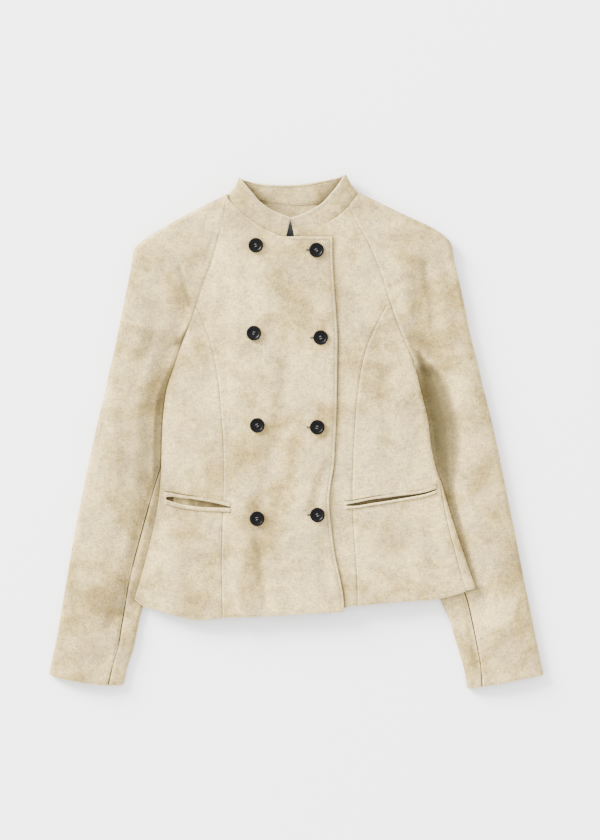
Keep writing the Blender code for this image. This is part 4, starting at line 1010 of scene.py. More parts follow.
def horn(name):
    """Polished dark resin with faint smoky streaks."""
    paint = Paint(name)
    smoke = paint.noise(120.0, 3.0, 0.5, 1.5)
    colour = paint.mix(paint.between(smoke, 0.45, 0.75), (0.0012, 0.0012, 0.0013),
                       (0.0035, 0.0035, 0.0038))
    normal = paint.bump(0.08, 0.0002, paint.noise(900.0))
    return paint.set(colour=colour, rough=0.28 + 0.1 * smoke, normal=normal, specular=0.07)


def thread_paint(name, dark, pale):
    paint = Paint(name)
    twist = paint.wave("DIAGONAL", 900.0)
    return paint.set(colour=paint.mix(twist, dark, pale), rough=0.55 + 0.1 * twist)


def floor_paint():
    paint = Paint("pale_floor")
    colour = paint.mix(paint.noise(0.6), (0.80, 0.80, 0.80), (0.81, 0.81, 0.81))
    return paint.set(colour=colour, rough=0.9)


LEATHER = leather("leather_cream")
# the inside pieces' copy is 6% darker: painted shade
LEATHER_INSIDE = leather("leather_inside", 0.94)
LINING_PAINT = plain_cloth("lining_dark", (0.008, 0.008, 0.011), (0.035, 0.035, 0.042), 900.0,
                           0.5)
HORN_PAINT = horn("button_horn")
THREAD_PALE = thread_paint("thread_pale", (0.33, 0.27, 0.16), (0.50, 0.43, 0.30))
THREAD_DARK = thread_paint("thread_dark", (0.008, 0.008, 0.011), (0.04, 0.04, 0.046))
floor.data.materials.append(floor_paint())


def finish_piece(piece, material, slot, *nodes):
    """Give a piece its material and body, and hide the solids that it stands for, where they are
    named.
    """
    piece.data.materials.clear()
    piece.data.materials.append(material)
    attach(piece, "root")
    if nodes:
        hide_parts(*nodes)
    return piece


# %% [markdown]
# ## Pockets' mouths
# Each pocket is a slit between two welts. The tables give the outer seam, the two lips of
# the mouth and the lower seam. The front pieces are left open under the welts.
# %% Pocket tables
POCKET = {
    RIGHT: dict(x=(-179, -168, -154.5, -141, -128, -111, -98, -86.5),
                top=(-78.5, -80, -82.5, -84.6, -86.5, -89.7, -92, -94.3),
                mouth_top=(-87.6, -86.6, -88.4, -89.7, -91.7, -94.8, -97.8, -101),
                mouth_low=(-89.6, -93.2, -97, -99, -100.6, -101.3, -101.6, -102),
                bottom=(-95.5, -99.5, -102.8, -104.6, -106, -107, -107.4, -107.8)),
    LEFT: dict(x=(64, 80, 101, 122.5, 138.5, 157.5, 176, 191),
               top=(-92, -90, -86, -82.8, -80.8, -78.5, -75, -69),
               mouth_top=(-97.8, -94.6, -90.3, -87.6, -85.4, -83.4, -80, -75.2),
               mouth_low=(-98.8, -98.9, -95.5, -92.3, -89.6, -86.4, -82.6, -77.2),
               bottom=(-104, -102.5, -99.4, -95.8, -93.4, -90.4, -86.8, -82)),
}
MOUTH_EXTRA = 1.2       # the opening reaches this far under each welt
MOUTH_ENDS, WELT_ENDS = 2.5, 4.0
WELT_LOW, WELT_SUNK_LOW = 1.25, 0.9       # its lower face's rise, and its depth at the ends
WELT_HIGH, WELT_TILT, WELT_ROLL, WELT_SUNK = 1.25, 0.25, 1.05, 0.35
FRONT_ABOVE = 13.0      # only the front layer lies above this height


def outside_mouth(side):
    """True for the quads of a grid that don't lie in the pocket's mouth."""
    table = POCKET[side]

    def keep(points):
        middle = (points[:-1, :-1] + points[1:, 1:]) / 2
        x, y, z = (middle[..., i] for i in range(3))
        top = read(table, "mouth_top", x) + MOUTH_EXTRA
        low = read(table, "mouth_low", x) - MOUTH_EXTRA
        ends = sorted((table["x"][0], table["x"][-1]))
        in_x = (x > ends[0] + MOUTH_ENDS) & (x < ends[1] - MOUTH_ENDS)
        return ~(in_x & (y < top) & (y > low) & (z > FRONT_ABOVE))
    return keep


# %% [markdown]
# ## Fronts
# Each front runs from the princess and raglan seams to its edge at the buttons. The right
# front is the lap and lies on top; its free edge, top edge and hem are turned under.
# %% Fronts
FINE_ROWS, FINE_COLS, BELOW_RAGLAN = 210, 84, 0.74
SIDE_COLS, BACK_COLS = 70, 76
ABOVE, BELOW = (0, 0, 500), (0, 0, -500)      # a point far over or under the whole jacket


def princess_points(side, count):
    y = np.linspace(PRINCESS[side]["y"][0], PRINCESS_TOP[side], count)
    return np.stack((read(PRINCESS[side], "x", y), y), axis=-1)


def front(side, name, edge_x, height, edges, marks):
    lower = princess_points(side, int(FINE_ROWS * BELOW_RAGLAN))
    y = np.linspace(PRINCESS_TOP[side] + 1.0, SLEEVE[side]["iy"][0],
                    FINE_ROWS - len(lower))
    outer = np.concatenate((lower, np.stack((side_x(side, y), y), axis=-1)))
    t = crowded(FINE_COLS)
    last = -1 if side == RIGHT else 0

    def across(start, end_x, table):
        x = start[0] + (end_x - start[0]) * t
        row = np.stack((x, read(table, "y", x)), axis=-1)
        row[0] = start
        return row
    hem = across(outer[0], edge_x(np.array(HEM[side]["y"][last])), HEM[side])
    neck = across(outer[-1], NECK[side]["x"][last], NECK[side])
    v = crowded(FINE_ROWS, 0.2)
    edge_y = hem[-1, 1] + (neck[-1, 1] - hem[-1, 1]) * v
    edge = np.stack((edge_x(edge_y), edge_y), axis=-1)
    edge[0], edge[-1] = hem[-1], neck[-1]
    plan = coons(hem, neck, outer, edge, t)
    piece = cloth(name, height_field(height), plan[..., 0], plan[..., 1], ABOVE,
                  edges, marks, keep=outside_mouth(side))
    return finish_piece(piece, LEATHER, "leather_cream", name)


def coons(bottom, top, start, end, t):
    """Fill four border curves: both ruled surfaces less the corners', columns at t."""
    v = np.linspace(0, 1, len(start))[:, None, None]
    u = t[None, :, None]
    ruled = (1 - v) * bottom[None] + v * top[None]
    across = (1 - u) * start[:, None] + u * end[:, None]
    corners = ((1 - v) * ((1 - u) * bottom[0] + u * bottom[-1])
               + v * ((1 - u) * top[0] + u * top[-1]))
    return ruled + across - corners


def underlap_x(y):
    return np.full(np.shape(y), UNDERLAP_X)


front_right = front(RIGHT, "front_right", lap_x, lap_height,
                    dict(first_row="turned", last_row="part free", first_col="raglan",
                         last_col="stitched"), body_marks)
front_left = front(LEFT, "front_left", underlap_x, front_height,
                   dict(first_row="turned", last_row="neck", first_col="sewn",
                        last_col="turned"), under_lap_marks)

# %% [markdown]
# ## Sides and back
# The side fronts and the backs meet at the side seams, which run near the side folds: just
# under the fold on the right, and over it near the hem on the left, as the photograph shows.
# %% Side fronts and backs
def bend_hem(side, s, y, short, end_y=None):
    """Move the first rows so that the lowest one follows the hem's curve, to end_y."""
    bend = np.linspace(1, 0, len(y))[:, None] ** 6
    x = body_tube(side, s[0], y[0])[:, 0]
    hem_y = read(HEM[side], "y", x)
    inside = side * (side_x(side, hem_y) - x)
    hem_y = hem_y + short * smooth(4.0, 30.0, inside)
    if end_y is not None:
        share = (s[0] - s[0, 0]) / (s[0, -1] - s[0, 0])
        hem_y = hem_y + (end_y - hem_y[-1]) * share ** 4
    return y + bend * (hem_y - y[0])[None, :]


def side_rows(side, count, top):
    hem_corner = HEM[side]["y"][0 if side == RIGHT else -1]
    y = hem_corner + (top - hem_corner) * crowded(count, 0.2)
    return y, np.where(y <= UNDERARM[side], read(SIDE_SEAM[side], "s", y), 0.0)


def side_front(side, name):
    y_out, seam_s = side_rows(side, FINE_ROWS, PRINCESS_TOP[side] - 0.6)
    y_in = np.linspace(PRINCESS[side]["y"][0], PRINCESS_TOP[side], FINE_ROWS)
    inner_s = tube_s(side, read(PRINCESS[side], "x", y_in), y_in)
    seam_s = np.where(y_out > UNDERARM[side], 0.01, seam_s)
    t = crowded(SIDE_COLS, 0.5)[None, :] ** 1.2
    s = seam_s[:, None] + (inner_s - seam_s)[:, None] * t
    y = bend_hem(side, s, y_out[:, None] + (y_in - y_out)[:, None] * t, 0.0)
    edges = dict(first_row="turned", first_col="sewn", last_col="sewn")
    piece = cloth(name, lambda a, b: body_tube(side, a, b), s, y, ABOVE, edges,
                  body_marks, keep=outside_mouth(side))
    return finish_piece(piece, LEATHER, "leather_cream", name)


def back(side, name):
    y_out, seam_s = side_rows(side, FINE_ROWS, SLEEVE[side]["iy"][0])
    seam_s = np.where(y_out > UNDERARM[side], -0.01, seam_s)
    hem_middle = -246.0 + BACK_HEM_SHORT
    y_mid = np.linspace(hem_middle, BACK_NECK_Y, FINE_ROWS)
    mid_s = -tube_s(side, CENTRE_BACK, y_mid)
    t = crowded(BACK_COLS, 0.4)[None, :] ** 1.3
    s = seam_s[:, None] + (mid_s - seam_s)[:, None] * t
    y = bend_hem(side, s, y_out[:, None] + (y_mid - y_out)[:, None] * t, BACK_HEM_SHORT,
                 hem_middle)
    edges = dict(first_row="turned", last_row="sewn", first_col="sewn", last_col="sewn")
    piece = cloth(name, lambda a, b: body_tube(side, a, b), s, y, BELOW, edges,
                  body_marks)
    return finish_piece(piece, LEATHER, "leather_cream", name)


side_front_right = side_front(RIGHT, "side_front_right")
side_front_left = side_front(LEFT, "side_front_left")
back_right, back_left = back(RIGHT, "back_right"), back(LEFT, "back_left")

# %% [markdown]
# ## Sleeves
# Two pieces each: the front one from the underarm seam over the top to the seam along the
# shoulder and arm, and the back one underneath, which wraps round the inner edge.
# %% Sleeves
SLEEVE_ROWS, SLEEVE_FRONT_COLS, SLEEVE_BACK_COLS = 200, 78, 84
NEAR_SEAM = 1e-4


def sleeve_piece(side, name, start, stop, columns, outward):
    rows = crowded(SLEEVE_ROWS, 0.15) * (len(SLEEVE[side]["ix"]) - 1)
    a, b = start(rows)[:, None], stop(rows)[:, None]
    turn = a + (b - a) * crowded(columns, 0.1)[None, :]
    edges = dict(first_row="sewn", last_row="turned", last_col="sewn",
                 first_col="raglan" if side == RIGHT and outward == ABOVE else "sewn")
    piece = cloth(name, lambda k, q: sleeve_tube(side, k, q), rows[:, None], turn,
                  outward, edges, sleeve_marks(side))
    return finish_piece(piece, LEATHER, "leather_cream", name)


sleeves = {}
for side, word in SIDES.items():
    sleeves["front_" + word] = sleeve_piece(
        side, "sleeve_front_" + word, lambda rows: seam_turn(side, rows) + NEAR_SEAM,
        lambda rows: np.full(len(rows), 1.0 - NEAR_SEAM), SLEEVE_FRONT_COLS, ABOVE)
    sleeves["back_" + word] = sleeve_piece(
        side, "sleeve_back_" + word, lambda rows: np.full(len(rows), 1.0 + NEAR_SEAM),
        lambda rows: 2.0 + seam_turn(side, rows) - NEAR_SEAM, SLEEVE_BACK_COLS, BELOW)

# %% Seam allowances
ALLOWANCE, ALLOWANCE_BELOW, ALLOWANCE_THICK = 5.0, 2.7, 1.0


def allowance(side, name):
    """The raglan seam's own edges, pressed open beneath it: a strip 5 mm to each side."""
    end = SLEEVE[side]["iy"][0]
    y = np.linspace(UNDERARM[side] - 4.0, end + 4.5, 160)[:, None]
    t = np.linspace(-ALLOWANCE, ALLOWANCE, 9)[None, :] * (1 - 0.6 * smooth(end - 2, end + 2, y))
    middle = side_middle(side, y)
    open_up = arch(above_underarm(side, y) / ARMHOLE_CLOSE)
    height = front_height(side_x(side, y), y) - ALLOWANCE_BELOW
    high = xyz(side_x(side, y) + t, y, middle + (height - middle) * open_up)
    low = high - (0.0, 0.0, ALLOWANCE_THICK)
    return finish_piece(sheet(name, high, low), LEATHER_INSIDE, "leather_inside")


for side, word in SIDES.items():
    allowance(side, "seam_allowance_" + word)

# %% [markdown]
# ## Collar
# The stand collar is one strip that runs from the right front's neck round the back to the
# left front. Laid flat it folds at both sides of the neck, the front ends show their outer
# face, and the back shows its inner face, with a line of stitching along the top edge.
# %% Collar
COLLAR = dict(
    bx=(-13.5, -31, -45, -60, -73.5, -84.5, -90.5, -91.5, -90, -83, -45, -8.5, 34.5, 66,
        77.5, 82.5, 79.5, 69.8, 56, 46, 29, 15.5, 3.5, -3.0),
    by=(264.8, 269.8, 276.3, 286.6, 297.8, 309, 316.0, 320.5, 319, 315, 310.1, 307.2, 309.2,
        310.5, 317, 322.5, 319.0, 306.6, 293.8, 286.8, 276.8, 270.3, 266.3, 265.3),
    tx=(-8, -23.5, -35.5, -49.5, -60.5, -69.5, -75, -76.5, -75, -68, -45, -9, 19.5,
        50, 61, 65.5, 64, 53, 36, 22.5, 13, 5, -2.5, -8.5),
    ty=(289, 295, 300.5, 311, 324, 334.5, 341.5, 344, 343, 340.5, 336, 334.5, 337.5,
        343, 346.5, 348, 345.5, 329.5, 310, 301, 296, 292.5, 290.5, 288.5),
    front=(1, 1, 1, 1, 1, 0.97, 0.85, 0.5, 0.14, 0.03, 0, 0, 0, 0.03, 0.14, 0.5, 0.86,
           1, 1, 1, 1, 1, 1, 1),
    rise=(2.0, 2.2, 2.5, 3, 3.2, 3, 2, 0.5, 1, 2.5, 4, 4.5, 4, 2.5, 1, 0.5, 2, 3, 2.8,
          2.2, 1.6, 1.0, 0.4, 0.2),
    pull=(0, 0, 0, 0, 0.5, 1.5, 2.5, 3, 2.5, 1.5, 0, 0, 0, -0.5, -1.2, -1.8, -1.2, -0.5, 0,
          0, 0, 0, 0, 0))
COLLAR_THICK = 2.0
COLLAR_BACK_Z = 2.2
SEAM_DIP, SEAM_TUCK, SEAM_DIP_WIDE = 1.5, 1.6, 7.0  # the neck seam pulls its edge down


def collar_middle(stations, t):
    """The strip's middle surface: straight from its lower to its upper edge."""
    at = {name: by_row(COLLAR, name, stations) for name in COLLAR}
    low_y = np.minimum(at["by"], 320)
    on_front = np.where(stations < 7.5, lap_height(at["bx"], low_y),
                        front_height(at["bx"], low_y))
    share = np.clip(at["front"], 0, 1)
    bottom_z = share * (on_front - COLLAR_THICK / 2) + (1 - share) * COLLAR_BACK_Z
    low = xyz(at["bx"], at["by"], bottom_z)
    high = xyz(at["tx"], at["ty"], bottom_z + at["rise"])
    strip = low[:, None] + (high - low)[:, None] * t[None, :, None]
    width = np.linalg.norm(high - low, axis=-1)[:, None]
    into_seam = 1.0 - smooth(0.0, SEAM_DIP_WIDE, t[None, :] * width)
    dip = SEAM_DIP * share * neck_seam_share(at["bx"])
    strip[..., 2] -= dip[:, None] * into_seam
    way = (low - high) / width
    strip[..., 0] += at["pull"][:, None] * np.sin(math.pi * t)[None, :]
    return strip + way[:, None] * (SEAM_TUCK * share[:, None] * into_seam)[..., None]


BACK_STITCH_IN, BACK_SEAM_SOFT = 3.3, 1.0
# painted shade on the collar: in the back's corners beside the front ends, and a little over the
# front ends
NECK_SHADE, NECK_SHADE_WIDE = 0.60, 5.5
COLLAR_SHADE, COLLAR_SEAM = 0.02, 1.8


def strip_normals(middle):
    return unit(np.cross(np.gradient(middle, axis=0), np.gradient(middle, axis=1)))


def collar():
    t = crowded(26, 0.5)
    stations = np.linspace(0, len(COLLAR["bx"]) - 1, 330)
    middle = collar_middle(stations, t)
    n = strip_normals(middle)
    edges = dict(first_row="turned", last_row="turned", first_col="neck", last_col="turned")
    form = edge_form(middle, edges)[..., None]
    outer = middle + n * (COLLAR_THICK / 2 + form)
    inner = middle - n * (COLLAR_THICK / 2 + form)
    marks = edge_marks(middle, edges)
    behind = 1.0 - np.clip(by_row(COLLAR, "front", stations), 0, 1)[:, None]
    marks["stitch_mm"] = marks["rim_mm"] + STITCH_IN - BACK_STITCH_IN + FAR_MM * (1 - behind)
    marks["seam_mm"] = marks["seam_mm"] + BACK_SEAM_SOFT * behind
    upper_edges = np.concatenate((np.linspace(3, 7, 60), np.linspace(15.5, 20, 60)))
    front_top = collar_middle(upper_edges, np.array([1.0]))[:, 0]
    away = np.min(np.hypot(middle[..., 0:1] - front_top[:, 0],
                           middle[..., 1:2] - front_top[:, 1]), axis=-1)
    corner = np.exp(-away / NECK_SHADE_WIDE) * behind
    # a painted shadow line just above where the lap's top edge lies over the collar
    over_lap = (stations[:, None] > 17.5) & (middle[..., 0] > LAP_TOP_FROM)
    marks["over_mm"] = np.where(over_lap, middle[..., 1] - NECK[RIGHT]["y"][-1], FAR_MM)
    shade = NECK_SHADE * corner + COLLAR_SHADE * (1.0 - behind)
    piece = sheet("collar", outer, inner, hollow=darkness(shade), seam_full=COLLAR_SEAM,
                  over_full=0.5, **marks)
    return finish_piece(piece, LEATHER, "leather_cream", "collar")


collar_piece = collar()

# %% [markdown]
# ## Inside the neck
# Through the neck shows the leather facing of the back, and through the notch between the
# collar's ends a little of the dark lining.
# %% Neck facing and lining
INNER_WALL = 0.9


def inner_sheet(name, x_range, y_low, y_high, columns, rows, base, edges, rise=0.0):
    x = np.linspace(*x_range, columns)
    t = np.linspace(0, 1, rows)[:, None]
    y = y_low(x)[None, :] + (y_high(x) - y_low(x))[None, :] * t
    z = base + 0.25 + 0.15 * ripple(x, y, 38.0, 6, 5) + rise * t ** 3
    high = xyz(x, y, z + INNER_WALL)
    high[..., 2] += edge_form(high, edges) * 0.5
    return sheet(name, high, xyz(x, y, z), **edge_marks(high, edges))


facing = inner_sheet(
    "back_neck_facing", (-72, 55), lambda x: np.full(len(x), 285.5),
    lambda x: through(COLLAR["bx"][9:14], COLLAR["by"][9:14], x) + 1.5, 90, 30, 0.6,
    dict(first_row="turned"), rise=1.0)
finish_piece(facing, LEATHER_INSIDE, "leather_inside", "back_neck_facing")
lining = inner_sheet("back_lining", (-45, 35), lambda x: np.full(len(x), 225.0),
                     lambda x: np.full(len(x), 285.0), 50, 40, 1.9, dict(last_row="sewn"))
finish_piece(lining, LINING_PAINT, "lining_dark", "back_lining")

# %% [markdown]
# ## Pockets
# Two narrow welts are the lips of each slit, soft rolls of leather with small gathers, and
# between them shows the pocket's facing, which sags a little.
# %% Welts and facings
def on_front(side, x, y):
    """The front's outer surface with the side fold's round-off."""
    inside = np.maximum(0.0, side * (side_x(side, y) - x))
    middle = side_middle(side, y)
    height = (lap_height if side == RIGHT else front_height)(x, y)
    return middle + (height - middle) * arch(inside / FOLD_ROUND)


def welt(side, name, upper, lower, rim_first):
    """A soft roll between two curves; both ends sink into the front."""
    table = POCKET[side]
    x = table["x"][0] + (table["x"][-1] - table["x"][0]) * crowded(150, 0.3)
    t = np.linspace(0, 1, 14)[:, None]
    a, b = read(table, lower, x)[None, :], read(table, upper, x)[None, :]
    surface = height_field(lambda p, q: on_front(side, p, q))
    grid_x, y = np.broadcast_arrays(x, a + (b - a) * t)
    base = surface(grid_x, y)
    n = normals(surface, grid_x, y)
    n = n * np.sign(n[..., 2:3])
    roll = np.sin(math.pi * t) ** 0.5
    gather = 0.10 * np.sin(grid_x / 1.9 + 2.0 * np.sin(grid_x / 9.0)) * roll
    to_mouth = 1 - t if rim_first else t
    end = smooth(0.0, WELT_ENDS, np.minimum(np.abs(grid_x - x[0]), np.abs(grid_x - x[-1])))
    low = base + n * (WELT_LOW * end - WELT_SUNK_LOW)[..., None]
    high = base + n * ((WELT_HIGH + WELT_TILT * to_mouth + WELT_ROLL * roll + gather) * end
                       - WELT_SUNK)[..., None]
    rim, seam = (t, 1 - t) if rim_first else (1 - t, t)
    # The welts' seam lines are dark joints with painted shade added; the upper one, whose step
    # faces the light, gets it wider and darker.
    lit, line = (0.5, 3.4) if rim_first else (1.0, 2.2)     # the upper seam faces the light
    piece = sheet(name, high, low, seam_mm=seam * (b - a) * lit, rim_mm=rim * (b - a),
                  seam_full=line)
    return finish_piece(piece, LEATHER, "leather_cream", name)


POCKET_SAG = {RIGHT: (0.2, 0.8), LEFT: (1.2, 2.5)}      # the facing's depth, and its droop
# painted shade on each facing along x, for the shade inside the pocket's mouth
POCKET_SHADE = {
    RIGHT: dict(x=(-182, -174, -167, -165, -150, -140, -128, -112, -90),
                full=(0.45, 0.9, 1.0, 0.05, 0.13, 0.33, 0.42, 0.48, 0.60)),
    LEFT: dict(x=(64, 80, 180, 191), full=(0.42, 0.56, 0.56, 0.45)),
}


FACING_PAST = 9.0       # the facing reaches this far past each lip


def pocket_facing(side, name):
    table = POCKET[side]
    ends = sorted((table["x"][0], table["x"][-1]), key=abs)
    x = np.linspace(ends[0], ends[1] - side * 6.0, 110)
    top = read(table, "mouth_top", x) + FACING_PAST
    low = read(table, "mouth_low", x) - FACING_PAST
    t = np.linspace(0, 1, 30)[:, None]
    y = low[None, :] + (top - low)[None, :] * t
    deep, sag = POCKET_SAG[side]
    droop = sag * np.sin(math.pi * t) ** 2
    fold = 0.3 * np.sin(x / 5.5 + y / 4.0) * np.sin(math.pi * t)
    z = on_front(side, x, y) - WALL - deep - droop + fold
    shaded = np.interp(x, POCKET_SHADE[side]["x"], POCKET_SHADE[side]["full"])
    # painted shade in stripes for the right facing's small pleats
    pleat_shade = 0.16 * np.sin(x / 2.6 + 1.3 * np.sin(x / 7.0))
    shaded = shaded + pleat_shade * 0.6 * (side == RIGHT)
    piece = sheet(name, xyz(x, y, z), xyz(x, y, z - INNER_WALL), hollow=darkness(shaded))
    return finish_piece(piece, LEATHER_INSIDE, "leather_inside", name)


pockets = {}
for side, word in SIDES.items():
    pockets[side] = [
        welt(side, "pocket_welt_upper_" + word, "top", "mouth_top", True),
        welt(side, "pocket_welt_lower_" + word, "mouth_low", "bottom", False),
        pocket_facing(side, "pocket_facing_" + word)]

# %% [markdown]
# ## Buttons
# Round four-hole buttons of dark resin, 20 mm across: a raised rim, a dished middle and
# four bored holes with thread crossed through them. A profile is carried round the axis,
# and the holes are cut with a Boolean.
# %% Buttons
BUTTON_RADIUS = 10.0
HOLE_RADIUS, HOLE_SPREAD = 1.05, 2.05
ROD_MIDDLE, ROD_LENGTH = 0.0015, 0.02
BUTTON_PROFILE = dict(
    r=(0.0, 2.5, 4.6, 5.9, 6.7, 7.3, 7.9, 8.6, 9.3, 9.75, 9.98, 9.9, 9.4, 8.2, 5.0, 0.0),
    z=(2.15, 2.18, 2.28, 2.45, 2.75, 3.2, 3.48, 3.6, 3.5, 3.2, 2.6, 1.5, 0.7, 0.15, 0.0,
       0.0))
BUTTONS = dict(
    name=("button_right_1", "button_right_2", "button_right_3", "button_right_4",
          "button_left_1", "button_left_2", "button_left_3", "button_left_4"),
    x=(-54.5, -57.0, -52.7, -53.0, 27.0, 32.5, 28.0, 28.5),
    y=(251.5, 133.5, 9.5, -116.0, 245.0, 127.5, 7.0, -111.0),
    turn=(12, -20, 35, 8, 40, 15, -10, 28))


def ring_quads(count, sides):
    """The ids of `count` rings of points, the next id round each ring, and their quads."""
    ids = np.arange(count * sides).reshape(count, sides)
    after = np.roll(ids, -1, axis=1)
    quads = np.stack((ids[:-1], after[:-1], after[1:], ids[1:]), axis=-1).reshape(-1, 4)
    return ids, after, quads


def turned(name, radius, height, steps):
    """A profile (radius, height) carried round Z, with its two ends closed on the axis."""
    angle = np.linspace(0, 2 * math.pi, steps, endpoint=False)
    r, z = np.asarray(radius[1:-1])[:, None], np.asarray(height[1:-1])[:, None]
    points = xyz(r * np.cos(angle), r * np.sin(angle), z).reshape(-1, 3)
    points = np.concatenate((points, [[0, 0, height[0]], [0, 0, height[-1]]]))
    ids, after, quads = ring_quads(len(r), steps)
    top, low = len(points) - 2, len(points) - 1
    faces = quads.tolist() + [(top, b, a) for a, b in zip(ids[0], after[0])]
    faces += [(low, a, b) for a, b in zip(ids[-1], after[-1])]
    mesh = bpy.data.meshes.new(name)
    mesh.from_pydata((points * MM).tolist(), [], [tuple(int(i) for i in f) for f in faces])
    face_outward(mesh, mend=True)
    return mesh


def bored_button():
    """The turned blank less four rods."""
    blank = add_object("blank", turned("button", BUTTON_PROFILE["r"], BUTTON_PROFILE["z"], 56))
    rods = bmesh.new()
    for corner in range(4):
        angle = math.pi / 4 + corner * math.pi / 2
        place = Matrix.Translation((HOLE_SPREAD * MM * math.cos(angle),
                                    HOLE_SPREAD * MM * math.sin(angle), ROD_MIDDLE))
        bmesh.ops.create_cone(rods, cap_ends=True, segments=16, radius1=HOLE_RADIUS * MM,
                              radius2=HOLE_RADIUS * MM, depth=ROD_LENGTH, matrix=place)
    rod_mesh = bpy.data.meshes.new("rods")
    rods.to_mesh(rod_mesh)
    rods.free()
    rod = add_object("rods", rod_mesh)
    bore = blank.modifiers.new("bore", "BOOLEAN")
    bore.object, bore.operation, bore.solver = rod, "DIFFERENCE", "EXACT"
    bpy.context.view_layer.update()
    depsgraph = bpy.context.evaluated_depsgraph_get()
    result = bpy.data.meshes.new_from_object(blank.evaluated_get(depsgraph))
    bpy.data.objects.remove(blank)
    bpy.data.objects.remove(rod)
    return result


def button_seat(x, y):
    """The place and tilt of a button that rests on the highest points under it."""
    surface = height_field(lap_height)
    n = normals(surface, np.array(x), np.array(y), step=BUTTON_RADIUS)
    n = n * np.sign(n[2])
    ring = np.linspace(0, 2 * math.pi, 25)
    reach = np.concatenate(([0.0], np.full(25, 5.0), np.full(25, BUTTON_RADIUS - 1)))
    angle = np.concatenate(([0.0], ring, ring))
    px, py = x + reach * np.cos(angle), y + reach * np.sin(angle)
    centre = surface(np.array(x), np.array(y))
    above = (surface(px, py) - centre) @ n
    seat = centre + n * (above.max() + 0.3)
    turn = Vector((0, 0, 1)).rotation_difference(Vector(n)).to_matrix().to_4x4()
    return Matrix.Translation(Vector((seat - PLAN_MIDDLE) * MM)) @ turn


def tube_along(path, radius, sides):
    """Points and quads of rings round a path in millimetres, drawn in at both ends."""
    way = unit(np.gradient(path, axis=0))
    side_way = np.cross(way, (0.0, 0.0, 1.0))
    weak = np.linalg.norm(side_way, axis=1) < 0.05
    side_way[weak] = np.cross(way[weak], (1.0, 0.0, 0.0))
    side_way = unit(side_way)
    up = np.cross(side_way, way)
    angle = np.linspace(0, 2 * math.pi, sides, endpoint=False)
    taper = np.ones(len(path))
    taper[0] = taper[-1] = 0.35
    ring = (np.cos(angle)[None, :, None] * side_way[:, None]
            + np.sin(angle)[None, :, None] * up[:, None]) * radius * taper[:, None, None]
    return (path[:, None] + ring).reshape(-1, 3), ring_quads(len(path), sides)[2]


def bundle(name, paths, radius, sides):
    """One mesh of tubes along many paths."""
    tubes = [tube_along(path, radius, sides) for path in paths]
    starts = np.cumsum([0] + [len(points) for points, _ in tubes])
    return mesh_piece(name, np.concatenate([points for points, _ in tubes]),
                      np.concatenate([quads + start for (_, quads), start in zip(tubes, starts)]))


THREAD_RADIUS, STRAND_SHIFT = 0.42, 0.32
STRAND_HIGH, STRAND_DROP, STRAND_FLAT = 2.75, 2.3, 0.72


def thread_paths():
    """Two strands from hole to hole, side by side, and back down through the holes."""
    half = HOLE_SPREAD * math.sin(math.pi / 4)
    t = np.linspace(-1, 1, 15)
    z = STRAND_HIGH - STRAND_DROP * np.clip(np.abs(t) - STRAND_FLAT, 0, 1) / (1 - STRAND_FLAT)
    return [xyz(half * t * 1.02, row_y + shift, z)
            for row_y in (-half, half) for shift in (-STRAND_SHIFT, STRAND_SHIFT)]


button_mesh = bored_button()
for name, x, y, turn in zip(*(BUTTONS[k] for k in ("name", "x", "y", "turn"))):
    place = button_seat(x, y) @ Matrix.Rotation(math.radians(turn), 4, "Z")
    mesh = button_mesh.copy()
    mesh.transform(place)
    shade(mesh, BUTTON_SHARP)
    finish_piece(add_object(name + "_disc", mesh), HORN_PAINT, "button_horn", name)
    strand = bundle(name + "_thread", thread_paths(), THREAD_RADIUS, 8)
    strand.data.transform(Matrix.Translation(Vector(PLAN_MIDDLE) * MM))
    strand.data.transform(place)
    finish_piece(strand, THREAD_DARK, "button_horn")

# %% [markdown]
# ## Buttonholes and topstitching
# The lap has a horizontal buttonhole beside each of its four buttons, worked in dark
# thread, of which a few millimetres show. Pale topstitching runs 4 mm inside the lap's
# edge and round the collar. All stitches of a line are one mesh of short capsules, laid
# on the cloth.
# %% Stitches
STITCH_LENGTH, STITCH_GAP, STITCH_RADIUS = 2.5, 0.9, 0.26


def stitches(name, path):
    """Capsules along a path of surface points, half sunk in."""
    step = np.concatenate(([0.0], np.cumsum(np.linalg.norm(np.diff(path, axis=0), axis=1))))
    pitch = STITCH_LENGTH + STITCH_GAP
    starts = (np.arange(int(step[-1] / pitch)) + 0.3) * pitch
    t = np.linspace(0, 1, 6)
    at = starts[:, None] + t[None, :] * STITCH_LENGTH
    lines = np.stack([np.interp(at, step, path[:, i]) for i in range(3)], axis=-1)
    lines[..., 2] += 0.22 * np.sin(math.pi * t)[None, :]
    return finish_piece(bundle(name, lines, STITCH_RADIUS, 6), THREAD_PALE, "leather_cream")


COLLAR_STITCH_UP = 0.86


def lap_line():
    """Just inside the lap's top edge and free edge."""
    y = np.linspace(263.4 - STITCH_IN, -241.0, 420)
    x = lap_x(y) - STITCH_IN
    top_x = np.linspace(-10.0, x[0], 50)[:-1]
    top_y = np.full(49, y[0])
    x, y = np.concatenate((top_x, x)), np.concatenate((top_y, y))
    return xyz(x, y, lap_height(x, y) + TURNED)


def collar_line(first, last):
    """Along the collar's upper face, at COLLAR_STITCH_UP of its height."""
    up = COLLAR_STITCH_UP
    middle = collar_middle(np.linspace(first, last, 260), np.array((up - 0.02, up, up + 0.02)))
    n = strip_normals(middle)[:, 1]
    n = n * np.sign(n[:, 2:3])
    return middle[:, 1] + n * (COLLAR_THICK / 2 + TURNED)


stitches("stitches_lap", lap_line())
for where, first, last in (("right", 0.4, 6.2), ("left", 16.8, 22.6), ("back", 9.0, 13.4)):
    stitches("stitches_collar_" + where, collar_line(first, last))

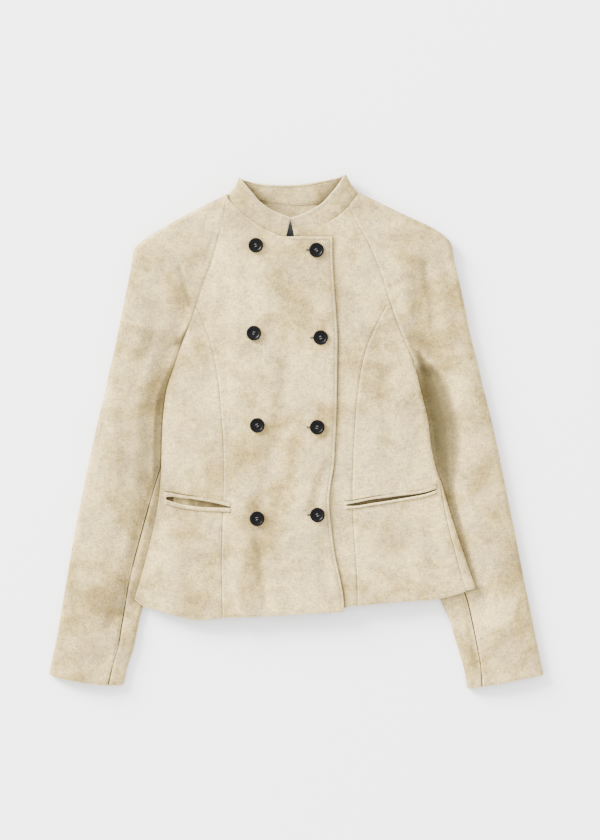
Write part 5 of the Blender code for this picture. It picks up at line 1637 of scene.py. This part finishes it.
# %% Buttonholes
HOLE_LENGTH, HOLE_HALF = 22.0, 1.25
HOLE_START, SATIN_STEP, SATIN_RADIUS = 13.8, 0.55, 0.27


def buttonhole(name, x, y):
    """A slit edged by close satin stitches across its two lips, left out under the button."""
    xs = np.arange(x - HOLE_START, x - HOLE_START + HOLE_LENGTH, SATIN_STEP)
    t = np.linspace(-1, 1, 5)
    paths = []
    for lip in (-1, 1):
        for px in xs[np.abs(xs - x) >= BUTTON_RADIUS - 2]:
            py = y + lip * (HOLE_HALF / 2 + 0.12) + t * HOLE_HALF / 2
            z = lap_height(np.full(5, px), py) + 0.1 + 0.28 * (1 - t * t)
            paths.append(xyz(px, py, z))
    return finish_piece(bundle(name, paths, SATIN_RADIUS, 6), THREAD_DARK, "lining_dark")


for index in range(4, 8):
    buttonhole("buttonhole_%d" % (index - 3), BUTTONS["x"][index], BUTTONS["y"][index])

def cut_area(piece):
    """Half of a closed wall's area: the cloth's own."""
    mesh = piece.data
    mesh.calc_loop_triangles()
    corners = np.empty(len(mesh.loop_triangles) * 3, np.int32)
    mesh.loop_triangles.foreach_get("vertices", corners)
    points = np.empty(len(mesh.vertices) * 3, np.float32)
    mesh.vertices.foreach_get("co", points)
    a, b, c = np.moveaxis(points.reshape(-1, 3)[corners.reshape(-1, 3)], 1, 0)
    return float(np.linalg.norm(np.cross(b - a, c - a), axis=1).sum() / 4)


def declare(piece, width, length, *under):
    round(cut_area(piece), 4)


declare(front_right, 0.235, 0.575, "front_left", "back_right")
declare(front_left, 0.235, 0.560, "back_left", "back_right")
declare(side_front_right, 0.150, 0.430, "back_right", "sleeve_front_right")
declare(side_front_left, 0.190, 0.420, "back_left", "sleeve_front_left")
declare(back_right, 0.240, 0.570, "floor", "sleeve_front_right")
declare(back_left, 0.290, 0.570, "floor", "sleeve_front_left")
declare(sleeves["front_right"], 0.165, 0.680, "sleeve_back_right")
declare(sleeves["front_left"], 0.165, 0.690, "sleeve_back_left")
declare(sleeves["back_right"], 0.190, 0.680, "floor")
declare(sleeves["back_left"], 0.190, 0.690, "floor")
declare(collar_piece, 0.040, 0.480, "back_right", "back_left")
declare(facing, 0.130, 0.030, "back_right", "back_left")
declare(lining, 0.082, 0.062, "back_right", "back_left")
for side, word in SIDES.items():
    upper, lower, inside = pockets[side]
    declare(upper, 0.140, 0.014, "side_front_" + word)
    declare(lower, 0.140, 0.014, "side_front_" + word)
    declare(inside, 0.140, 0.036, "side_front_" + word)
